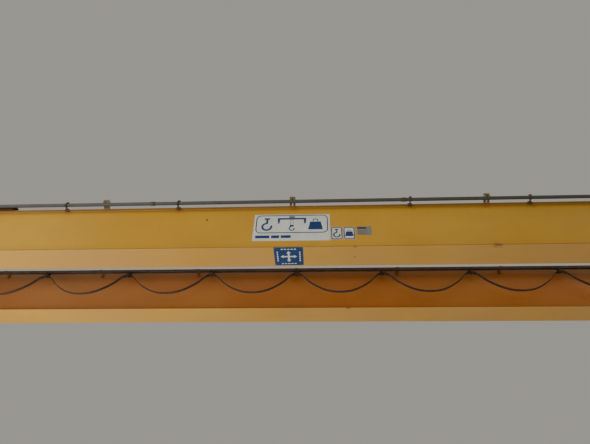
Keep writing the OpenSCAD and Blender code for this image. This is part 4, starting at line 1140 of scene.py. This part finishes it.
gearbox = {
    "length": 0.190, "bigR": 0.168, "smallR": 0.148, "turns": (192, 78, -60), "endX": -4.935,
    "shoulderZ": 1.02, "heelZ": 1.08, "wall": 0.010, "flange": 0.010, "ribs": (0.0, 0.055, 0.125, 0.180),
    "rib": 0.010, "proud": 0.004, "covers": (0.090, 0.060), "coverBolt": 0.006, "boltIn": (0.012, 0.009),
    "foot": (0.006, 0.030, 0.022), "bolt": 0.008,
    "breather": [(0.012, 0), (0.012, 0.012), (0.020, 0.014), (0.020, 0.024), (0.010, 0.028)],
    "breatherAt": (0.165, 0.09, 1.268),
}


def addHoistGear():
    # the gear case follows the two shafts' circles, with ribs, a split flange, covers, bolts and a breather
    h, g, x = hoist, gearbox, trolley["x"]
    y0, y1, z, base, out = h["gearY"], h["gearY"] + g["length"], h["z"], h["base"], g["proud"]
    start, tangent, end = np.radians(g["turns"])
    big = arcPoints(g["bigR"], start, tangent, 20, (x, z))
    small = arcPoints(g["smallR"], tangent, end, 20, (h["motorX"], z))
    left, right = x - g["bigR"], g["endX"]
    foot = [(right, g["shoulderZ"]), (right, base), (left, base), (left, g["heelZ"])]
    outline = np.concatenate([big, small, foot])[::-1]
    case = prism(inset(outline, g["wall"]), y0 + out, y1 - out, "y", bevel=0.008)
    split = slab((left - out, y0 - 0.003, z - g["flange"]), (right + out, y1 + 0.003, z + g["flange"]), 0.002)
    ribs = [prism(inset(outline, 0.002), y0 + dy, y0 + dy + g["rib"], "y", bevel=0.001) for dy in g["ribs"]]
    shafts = list(zip((x, h["motorX"]), g["covers"], g["boltIn"]))
    covers = [turned([(r, 0), (r, 0.008), (r - 0.005, 0.011), (r * 0.5, 0.011), (r * 0.45, 0.007),
                      (0.01, 0.007)], "y", (cx, y1 - 0.001, z), 40) for cx, r, gap in shafts]
    wider, deep, tall = g["foot"]
    feet = [slab((left - wider, y, base), (right + wider, y + deep, base + tall), 0.003)
            for y in (y0 - out, y1 + out - deep)]
    dx, dy, top = g["breatherAt"]
    breather = turned(g["breather"], "z", (x + dx, y0 + dy, top), 20)
    makePiece("ribbed_hoist_gear_case", [case, split, *ribs, *covers, *feet, breather], "machine_grey",
              ["hoist_gearbox"])
    heads = []
    for cx, r, gap in shafts:
        rim = np.column_stack([ring(8, r - gap, 0.3), np.zeros(8)])
        heads.append(aimed(copies(bolt(g["coverBolt"], False), rim), "y", 1, (cx, y1 + 0.0095, z)))
    heads += [moved(bolt(g["bolt"]), (bx, y, z + g["flange"]))
              for bx in np.linspace(x - 0.150, -4.955, 8) for y in (y0 + 0.030, y1 - 0.030)]
    makeFixings("gear_case_bolts", heads)


def addHoistMotor():
    # the finned motor, flanged to the gear case beside the drum
    motor = motorWithBox(hoist, "y", -1, (hoist["motorX"], hoist["gearY"], hoist["z"]))
    makePiece("finned_hoist_motor", motor, "machine_grey", ["hoist_motor"])


pedestal = {
    "y": -0.600, "foot": (0.130, 0.035, 0.025), "houseR": 0.080, "house": 0.028,
    "seam": (0.098, 0.029, 0.004),
    "legs": [(-0.080, -0.020), (-0.095, -0.125), (0.095, -0.125), (0.080, -0.020)],
    "cover": [(0.055, 0), (0.055, 0.006), (0.050, 0.009), (0.012, 0.009)],
    "nipple": [(0.005, 0), (0.005, 0.008), (0.003, 0.013)], "footBolt": (0.011, 0.112),
    "capBolt": (0.009, 0.088),
}


def addDrumBearing():
    # a pedestal bearing: foot, split housing with cap bolts, end cover and nipple
    p = pedestal
    centre = np.array([trolley["x"], p["y"], hoist["z"]])
    wide, deep, tall = p["foot"]
    floor = hoist["base"] - hoist["z"]
    foot = slab(centre + [-wide, -deep, floor], centre + [wide, deep, floor + tall], 0.005)
    outline = np.concatenate([ring(28, p["houseR"])[:15], p["legs"]])
    house = prism(outline, -p["house"], p["house"], "y", centre, 0.004)
    seam = slab(centre - p["seam"], centre + p["seam"], 0.002)
    cover = turned(p["cover"], "y", centre - [0, p["house"] - 0.001, 0], 36, -1)
    nipple = turned(p["nipple"], "z", centre + [0, 0, p["houseR"] - 0.002], 10)
    makePiece("pedestal_bearing", [foot, house, seam, cover, nipple], "machine_grey", ["drum_bearing"])
    makeFixings("pedestal_bearing_bolts", [
        moved(bolt(size), centre + [s * apart, 0, z]) for (size, apart), z in (
            (p["footBolt"], floor + tall), (p["capBolt"], p["seam"][2])) for s in (-1, 1)])


addTrolleyDrive()
addTrolleyDetails()
addDrum()
addRopes()
addHookBlock()
addHook()
addHoistGear()
addHoistMotor()
addDrumBearing()
print("trolley and hoist dressed")


# Sign plates: borders and pictograms under a millimetre proud, drawn as plain outlines

sign = {"proud": 0.0008, "sink": 0.0002, "step": 0.00004, "line": 0.012, "smallLine": 0.010}


def boxOutline(x0, z0, x1, z1):
    # rectangle between two corners
    return np.array([(x0, z0), (x1, z0), (x1, z1), (x0, z1)])


def strokeOutline(points, width):
    # a thin band along an open line, square at its ends
    p = np.asarray(points, float)
    along = np.gradient(p, axis=0)
    normal = np.stack([-along[:, 1], along[:, 0]], 1) / np.linalg.norm(along, axis=1, keepdims=True)
    return np.concatenate([p + normal * width / 2, (p - normal * width / 2)[::-1]])


def bandShape(outline, width, y):
    # a closed border line of that width round the outline, standing proud of the plate
    path = np.column_stack([outline[:, 0], np.full(len(outline), y), outline[:, 1]])
    section = boxOutline(-width / 2, -sign["proud"] * 0.2, width / 2, sign["proud"])
    return swept(path, section, up=(0, -1, 0), loop=True)


def raised(outlines, y):
    # outlines stood proud of a plate that faces -Y, each by a hair more than the one before
    return [moved(prism(f, -y - sign["sink"], -y + sign["proud"] + sign["step"] * i, "y"), flip=(1, -1, 1))
            for i, f in enumerate(outlines)]


def craneSymbol(width, height):
    # side view of a bridge crane in parts of its width and height: girder, two ends, trolley, two ropes
    # and the block, then its hook and two wheels
    bars = [(-0.5, 0.30, 0.5, 0.42), (-0.5, 0.12, -0.42, 0.30), (0.42, 0.12, 0.5, 0.30),
            (-0.10, 0.44, 0.10, 0.54), (-0.05, -0.10, -0.035, 0.30), (0.035, -0.10, 0.05, 0.30),
            (-0.07, -0.22, 0.07, -0.10)]
    parts = [boxOutline(*bar) * [width, height] for bar in bars]
    hook = arcPoints(height * 0.13, math.radians(100), math.radians(380), 22, (0, -height * 0.36))
    parts.append(strokeOutline(hook, height * 0.06))
    return parts + [ring(16, height * 0.055) + (sx * width * 0.46, height * 0.06) for sx in (-1, 1)]


def weightSymbol(size):
    # a scale weight: a trapezium body under a ring handle
    body = np.array([(-0.50, -0.50), (0.50, -0.50), (0.36, 0.22), (-0.36, 0.22)])
    handle = strokeOutline(arcPoints(1, -0.5, math.pi + 0.5, 20) * [0.15, 0.13] + [0, 0.34], 0.07)
    return [body * size, handle * size]


def hookSymbol(size):
    # a plain hook: shank, round bowl and a point
    shank, top = boxOutline(-0.06, 0.02, 0.06, 0.36), boxOutline(-0.16, 0.36, 0.16, 0.48)
    bowl = strokeOutline(arcPoints(0.26, math.radians(95), math.radians(380), 26, (0, -0.20)), 0.12)
    return [shank * size, top * size, bowl * size]


def addRivets(name, size, axis, xs, ys, zs):
    # a domed head facing -axis wherever the given places meet
    heads = [aimed(screw(size), axis, -1, (x, y, z)) for x in xs for y in ys for z in zs]
    makePiece(name, heads, "plate_aluminium")


largeSign = {
    "edge": 0.002, "split": 0.28, "frameTop": 0.012, "frameIn": 0.055, "corner": 0.055,
    "crane": (0.330, 0.215), "hook": (0.200, 0.150), "weight": (0.170, 0.165),
    "bars": ((0.028, 0.190), (0.208, 0.300), (0.318, 0.430)), "barLow": 0.040, "barHigh": 0.034,
    "rivet": 0.005, "rivetX": 0.014, "rivetZ": (0.012, 0.010),
}


def addLargeSign():
    # a rounded border over the upper part with a hook, a crane and a weight in it, and three bars under it
    s = largeSign
    low, high = corners("large_sign_plate")
    y, (x0, x1), (z0, z1) = low[1] + 0.0004, *[(low[i] + s["edge"], high[i] - s["edge"]) for i in (0, 2)]
    cx, split, top = (x0 + x1) / 2, z0 + s["split"] * (z1 - z0), z1 - s["frameTop"]
    frame = roundedRect(x1 - x0 - s["frameIn"], top - split - s["frameTop"], s["corner"], 8)
    middle = (split + top) / 2
    flats = [p + (cx, middle + 0.005) for p in craneSymbol(*s["crane"])]
    flats += [p + (x0 + s["hook"][1], middle) for p in hookSymbol(s["hook"][0])]
    flats += [p + (x1 - s["weight"][1], middle - 0.005) for p in weightSymbol(s["weight"][0])]
    flats += [boxOutline(x0 + a, z0 + s["barLow"], x0 + b, split - s["barHigh"]) for a, b in s["bars"]]
    makePiece("large_sign_pictograms", [bandShape(frame + (cx, middle), sign["line"], y), *raised(flats, y)],
              "sign_blue", sharpAngle=40)
    dx, (up, down) = s["rivetX"], s["rivetZ"]
    addRivets("large_sign_rivets", s["rivet"], "y", (x0 + dx, cx, x1 - dx), [y + 0.0004],
              (z0 + up, z1 - down))


smallSigns = {
    "gap": 0.013, "frameIn": 0.016, "corner": 0.010, "hook": 0.130, "weight": 0.096, "rivet": 0.0035,
    "rivetAt": (0.045, 0.076),
}


def addSmallSigns():
    # a rounded border on each of the two plates, a hook in the left one and a weight in the right one
    s = smallSigns
    low, high = corners("small_sign_plates")
    width, y, cz = (high[0] - low[0] - s["gap"]) / 2, low[1], (low[2] + high[2]) / 2
    border = roundedRect(width - s["frameIn"], high[2] - low[2] - s["frameIn"], s["corner"])
    shapes, rivetX = [], []
    for i, symbol in enumerate((hookSymbol(s["hook"]), weightSymbol(s["weight"]))):
        middle = (low[0] + width / 2 + i * (width + s["gap"]), cz)
        shapes += [bandShape(border + middle, sign["smallLine"], y), *raised([f + middle for f in symbol], y)]
        rivetX += [middle[0] - s["rivetAt"][0], middle[0] + s["rivetAt"][0]]
    makePiece("small_sign_pictograms", shapes, "sign_blue", sharpAngle=40)
    addRivets("small_sign_rivets", s["rivet"], "y", rivetX, [y], (cz - s["rivetAt"][1], cz + s["rivetAt"][1]))


ratingPlate = {
    "head": (0.008, 0.036, 0.055, 0.010), "row": (0.010, 0.012, 0.070, 0.0015), "rows": 4,
    "rowPitch": 0.016, "column": (0.060, 0.012, 0.058, 0.045), "rivet": 0.003, "rivetIn": 0.006,
}


def addRatingPlate():
    # a filled heading, four ruled lines and an upright rule, all plain
    p = ratingPlate
    (x0, y, z0), (x1, _, z1) = corners("rating_plate")
    left, down, right, up = p["head"]
    flats = [boxOutline(x0 + left, z1 - down, x1 - right, z1 - up)]
    left, up, right, thick = p["row"]
    rows = z0 + up + np.arange(p["rows"]) * p["rowPitch"]
    flats += [boxOutline(x0 + left, z, x1 - right, z + thick) for z in rows]
    left, up, right, down = p["column"]
    flats.append(boxOutline(x1 - left, z0 + up, x1 - right, z1 - down))
    makePiece("rating_plate_fields", raised(flats, y), "trunking_brown")
    edge = p["rivetIn"]
    addRivets("rating_plate_rivets", p["rivet"], "y", (x0 + edge, x1 - edge), [y], (z0 + edge, z1 - edge))


travelSign = {
    "arrow": [(0.010, 0.010), (0.058, 0.010), (0.058, 0.026), (0.092, 0.0), (0.058, -0.026),
              (0.058, -0.010), (0.010, -0.010)],
    "middle": 0.0101, "bars": 5, "barStart": -0.085, "barPitch": 0.036, "bar": (0.024, 0.118, 0.132),
    "rivet": 0.004, "rivetAt": (0.150, 0.144),
}


def addTravelSign():
    # an arrow and a row of edge bars, each turned to the four sides, in white on the blue plate's underside
    t = travelSign
    low, high = corners("travel_sign")
    (cx, cy), z = (low + high)[:2] / 2, low[2]
    quarters = [np.linalg.matrix_power(np.array([[0, -1], [1, 0]]), k) for k in range(4)]
    length, inner, outer = t["bar"]
    starts = t["barStart"] + np.arange(t["bars"]) * t["barPitch"]
    flats = [t["arrow"] @ quarter for quarter in quarters]
    flats.append(boxOutline(*np.array([-1, -1, 1, 1]) * t["middle"]))
    flats += [boxOutline(x, inner, x + length, outer) @ quarter for quarter in quarters for x in starts]
    makePiece("travel_sign_arrows", [prism(f + (cx, cy), z - sign["proud"], z + sign["sink"]) for f in flats],
              "sign_white", sharpAngle=40)
    dx, dy = t["rivetAt"]
    addRivets("travel_sign_rivets", t["rivet"], "z", (cx - dx, cx + dx), (cy - dy, cy + dy), [z])


addLargeSign()
addSmallSigns()
addRatingPlate()
addTravelSign()
print("signs drawn")


# Conduit fittings, festoon fittings, boxes, cabinet and end stops

conduit = {
    "radius": 0.021, "socket": 0.0255, "socketL": 0.055, "joints": (-4.69, -1.69, 1.31, 4.31),
    "edge": 0.001,
    "cap": [(0.020, -0.012), (0.0255, -0.012), (0.0255, 0.010), (0.016, 0.014), (0.004, 0.014)],
    "capIn": 0.010, "clamps": (0.0, 2.27, 4.54), "clampBolt": (0.007, 0.022),
}
trunking = {
    "wider": 0.0012, "lip": 0.012, "thick": 0.0012, "lid": 0.985, "lidPitch": 0.995, "start": 0.005,
    "lastLid": 0.5, "screw": 0.004, "screwStart": 0.06, "screwPitch": 0.29,
}


def addConduitFittings():
    # screwed sockets between the tube lengths, end caps, and clamp-block bolts
    c = conduit
    low, high = corners("cable_conduit")
    y, z = ((low + high) / 2)[1:]
    r, half, edge = c["socket"], c["socketL"] / 2, c["edge"]
    side = [(c["radius"], -half), (r - edge, -half), (r, -half + 2 * edge)]
    socket = turned(side + [(a, -b) for a, b in side[::-1]], "x", (0, y, z), 32)
    ends = [turned(c["cap"], "x", (x, y, z), 32, s)
            for x, s in ((low[0] + c["capIn"], -1), (high[0] - c["capIn"], 1))]
    makePiece("conduit_sockets", [copies(socket, [(x, 0, 0) for x in c["joints"]]), *ends], "rusty_steel")
    top, (size, apart) = corners("conduit_clamps")[1][2], c["clampBolt"]
    heads = [moved(bolt(size), (x + s * apart, y, top)) for x in c["clamps"] for s in (-1, 1)]
    makeFixings("conduit_clamp_bolts", heads)


def addTrunkingLids():
    # lids with turned-down lips laid end to end along the trunking, and a row of screws
    t = trunking
    low, high = corners("cable_trunking")
    middle, top, thick = (low[1] + high[1]) / 2, high[2], t["thick"]
    wide, lip = (high[1] - low[1]) / 2 + t["wider"], -t["lip"]
    section = [(-wide, lip), (-wide + thick, lip), (-wide + thick, 0), (wide - thick, 0), (wide - thick, lip),
               (wide, lip), (wide, thick), (-wide, thick)]
    lids = [prism(section, x, x + t["lid"], "x", (0, middle, top))
            for x in np.arange(low[0] + t["start"], high[0] - t["lastLid"], t["lidPitch"])]
    heads = [moved(screw(t["screw"]), (x, middle, top + thick))
             for x in np.arange(low[0] + t["screwStart"], high[0], t["screwPitch"])]
    makePiece("trunking_lids", [*lids, *heads], "trunking_brown")


festoon = {
    "bracketPitch": 1.365, "brackets": 9, "bolt": 0.009, "boltIn": 0.006, "boltUp": 0.016,
    "cap": (0.046, 0.040, 0.004), "capT": 0.004,
}


def addFestoonFittings():
    # a bolt through each bracket into the web and one into the rail, and a cap on each end of the rail
    f = festoon
    low, high = corners("festoon_rail")
    bracketLow, bracketHigh = corners("festoon_brackets")
    middle, z = ((low + high) / 2)[1:]
    heads = []
    for x in (np.arange(f["brackets"]) - f["brackets"] // 2) * f["bracketPitch"]:
        heads.append(moved(bolt(f["bolt"]), (x, middle, bracketHigh[2])))
        heads.append(aimed(bolt(f["bolt"]), "y", -1,
                           (x, bracketHigh[1] - f["boltIn"], bracketLow[2] + f["boltUp"])))
    makePiece("festoon_bracket_bolts", heads, "bracket_paint")
    caps = [prism(roundedRect(*f["cap"]) + (middle, z), x, x + f["capT"], "x", bevel=0.0008)
            for x in (low[0] - f["capT"], high[0])]
    makePiece("festoon_rail_caps", caps, "rusty_steel")


boxes = {
    "glandDown": 0.115, "screw": 0.004, "gland": (0.056, 0.034, 0.008), "glandT": 0.012,
    "lidX": (0.018, 0.004), "lidY": (0.004, 0.010), "lidZ": (0.094, 0.064), "screwIn": 0.016,
    "screwUp": 0.014, "towIn": 0.022, "coverX": (0.104, 0.002), "coverY": (0.030, 0.036), "coverZ": 0.054,
    "coverScrewX": 0.050, "coverScrews": (0.042, 0.044),
}


def addBoxDetails():
    # lids with screws on the two terminal boxes, and a gland round each end of the cable
    b = boxes
    y, z = cable["railY"], cable["railZ"] - b["glandDown"]
    low, high = corners("festoon_feed_box")
    x0, x1, front = low[0] + b["lidX"][0], high[0] + b["lidX"][1], low[1] - b["lidY"][0]
    z0, z1, edge = z - b["lidZ"][0], z + b["lidZ"][1], b["screwUp"]
    lid = slab((x0, front, z0), (x1, low[1] + b["lidY"][1], z1), 0.003)
    heads = [aimed(screw(b["screw"]), "y", -1, (x, front, up)) for x in (x0 + b["screwIn"], x1 - edge)
             for up in (z0 + edge, z1 - edge)]
    towX = cable["firstCarrier"] + cable["towEnd"][0][0]
    nuts = [prism(roundedRect(*b["gland"]), *sorted((0, s * b["glandT"])), "x", (x, y, z), 0.002)
            for x, s in ((low[0] + 0.004, 1), (towX - 0.004, -1))]
    end, (yIn, yOut) = towX - b["towIn"], b["coverY"]
    cover = slab((end - b["coverX"][0], y + yIn, z - b["coverZ"]),
                 (end + b["coverX"][1], y + yOut, z + b["coverZ"]), 0.002)
    heads += [aimed(screw(b["screw"]), "y", 1, (end - b["coverScrewX"] + dx, y + yOut, z + dz))
              for dx, dz, _ in fourSpots(*b["coverScrews"], 0)]
    makePiece("terminal_box_lids", [lid, cover, *heads, *nuts], "box_grey")


cabinet = {
    "doorIn": (0.008, 0.0015, 0.010), "doorY": (-0.004, 0.012), "hinge": (0.007, 0.050),
    "hingeZ": (0.05, -0.10), "louvres": 6, "louvre": (0.006, 0.005), "louvreHalf": 0.07, "louvreX": 0.20,
    "louvreZ": 0.060, "louvrePitch": 0.016, "lip": (0.012, 0.028, 0.026, 0.004),
    "rose": [(0.017, 0), (0.017, 0.006), (0.013, 0.008), (0.004, 0.008)], "grip": (0.014, 0.070, 0.006),
    "gripT": 0.008, "gripOut": 0.018, "gripDown": 0.018, "handleX": 0.035, "glands": 6, "glandX": 0.12,
    "nut": 0.016, "gland": [(0.013, -0.022), (0.013, -0.010)],
}


def addCabinetDetails():
    # two doors with a gap, hinges, turn handles, half-round louvres, a drip lip and glands below
    c = cabinet
    low, high = corners("control_cabinet")
    y, mid = high[1], (low[0] + high[0]) / 2
    side, gap, edge = c["doorIn"]
    z0, z1 = low[2] + edge, high[2] - edge
    shapes = [slab((x0, y + c["doorY"][0], z0), (x1, y + c["doorY"][1], z1), 0.004)
              for x0, x1 in ((low[0] + side, mid - gap), (mid + gap, high[0] - side))]
    radius, length = c["hinge"]
    shapes += [prism(ring(12, radius), z, z + length, "z", (x, y + 0.006, 0), 0.001)
               for x in (low[0] + 0.006, high[0] - 0.006) for z in (z0 + c["hingeZ"][0], z1 + c["hingeZ"][1])]
    curve = np.linspace(0, math.pi, 7)
    section = np.concatenate([np.stack([np.sin(curve), np.cos(curve)], 1) * c["louvre"], [(0, 0)]])[::-1]
    shapes += [prism(section, x - c["louvreHalf"], x + c["louvreHalf"], "x",
                     (0, y + 0.011, z0 + c["louvreZ"] + i * c["louvrePitch"]))
               for x in (mid - c["louvreX"], mid + c["louvreX"]) for i in range(c["louvres"])]
    over, back, front, half = c["lip"]
    shapes.append(slab((low[0] - over, low[1] + back, high[2] - half),
                       (high[0] + over, y + front, high[2] + half), 0.003))
    makePiece("cabinet_doors", shapes, "box_grey")
    handles, z = [], (z0 + z1) / 2
    for x in (mid - c["handleX"], mid + c["handleX"]):
        handles.append(aimed(turned(c["rose"], count=20), "y", 1, (x, y + c["doorY"][1], z)))
        handles.append(prism(roundedRect(*c["grip"]), 0, c["gripT"], "y",
                             (x, y + c["gripOut"], z - c["gripDown"]), 0.002))
    gland = joined(prism(ring(6, c["nut"]), -0.010, 0, bevel=0.001), turned(c["gland"], count=16))
    spread = np.linspace(low[0] + c["glandX"], high[0] - c["glandX"], c["glands"])
    makePiece("cabinet_handles_and_glands", handles + [moved(gland, (x, y - 0.12, low[2])) for x in spread],
              "machine_grey")


stopPad = {
    "pad": [(0.034, 0), (0.034, 0.018), (0.028, 0.030), (0.010, 0.034), (0.004, 0.030)], "up": 0.108,
    "bolt": 0.010, "nutAt": 0.012, "footX": (0.060, 0.105), "footY": (-0.012, 0.012), "footT": 0.012,
}


def addStopPads():
    # turned rubber pads on the trolley end stops with a nut behind, and foot bolts
    p = stopPad
    base, end = corners("trolley_end_stops")[0][2], corners("trolley_rails")[1][0]
    pads, heads = [], []
    for y in (-trolley["railY"], trolley["railY"]):
        for s in (-1, 1):
            pads.append(turned(p["pad"], "x", (s * end, y, base + p["up"]), 28, -s))
            heads.append(aimed(bolt(p["bolt"]), "x", s, (s * (end + p["nutAt"]), y, base + p["up"])))
            heads += [moved(bolt(p["bolt"]), (s * (end + dx), y + dy, base + p["footT"]))
                      for dx in p["footX"] for dy in p["footY"]]
    makePiece("end_stop_pads", pads, "buffer_rubber")
    makeFixings("end_stop_bolts", heads)


addConduitFittings()
addTrunkingLids()
addFestoonFittings()
addBoxDetails()
addCabinetDetails()
addStopPads()
print("fittings added")


# Floor, light and sky

studio = {
    "floorZ": -5.0, "floorHalf": 150.0, "floorColour": "d6d3cc", "sky": "e6e2d6", "skyStrength": 0.44,
    "lamps": [
        ("front_strip", (-7.0, -9.0, 0.7), (-2.5, -0.7, 0.4), (9.0, 1.2), 500),
        ("overhead_light", (-4.0, 7.0, 8.0), (-3.0, 0.0, 0.5), (14.0, 6.0), 900),
        ("rear_strip", (2.0, 10.0, 0.9), (0.0, 0.7, 0.4), (12.0, 1.2), 350),
        ("right_end_light", (11.5, -3.0, 5.0), (7.2, 0.0, 0.4), (3.0, 3.0), 110),
        ("floor_bounce", (-6.6, -1.0, -4.9), (-6.6, -1.001, 0.0), (9.0, 8.0), 415),
    ],
}


def addStudio():
    # a level floor, area lamps each aimed from its place at its target, and one pale sky colour
    s = studio
    half, z = s["floorHalf"], s["floorZ"]
    mesh = bpy.data.meshes.new("pale_floor")
    floor = [(-half, -half, z), (half, -half, z), (half, half, z), (-half, half, z)]
    mesh.from_pydata(floor, [], [(0, 1, 2, 3)])
    ground = bpy.data.objects.new("pale_floor", mesh)
    bpy.context.scene.collection.objects.link(ground)
    mesh.materials.append(paintMaterial("pale_studio_floor", s["floorColour"], "cbc8c1", "cbc8c1", 0.7, 0.2))
    for name, place, target, size, power in s["lamps"]:
        data = bpy.data.lights.new(name, "AREA")
        data.energy, data.shape, data.size, data.size_y = power, "RECTANGLE", *size
        lamp = bpy.data.objects.new(name, data)
        away = np.array(place) - np.array(target)
        away /= np.linalg.norm(away)
        side = np.cross([0, 0, 1], away)
        side /= np.linalg.norm(side)
        turn = np.eye(4)
        turn[:3, 0], turn[:3, 1], turn[:3, 2], turn[:3, 3] = side, np.cross(away, side), away, place
        lamp.matrix_world = Matrix(turn.tolist())
        bpy.context.scene.collection.objects.link(lamp)
    world = bpy.data.worlds.new("studio_sky")
    bpy.context.scene.world = world
    world.use_nodes = True
    sky = world.node_tree.nodes["Background"]
    sky.inputs[0].default_value = colour(s["sky"])
    sky.inputs[1].default_value = s["skyStrength"]


addStudio()
print("studio lit")
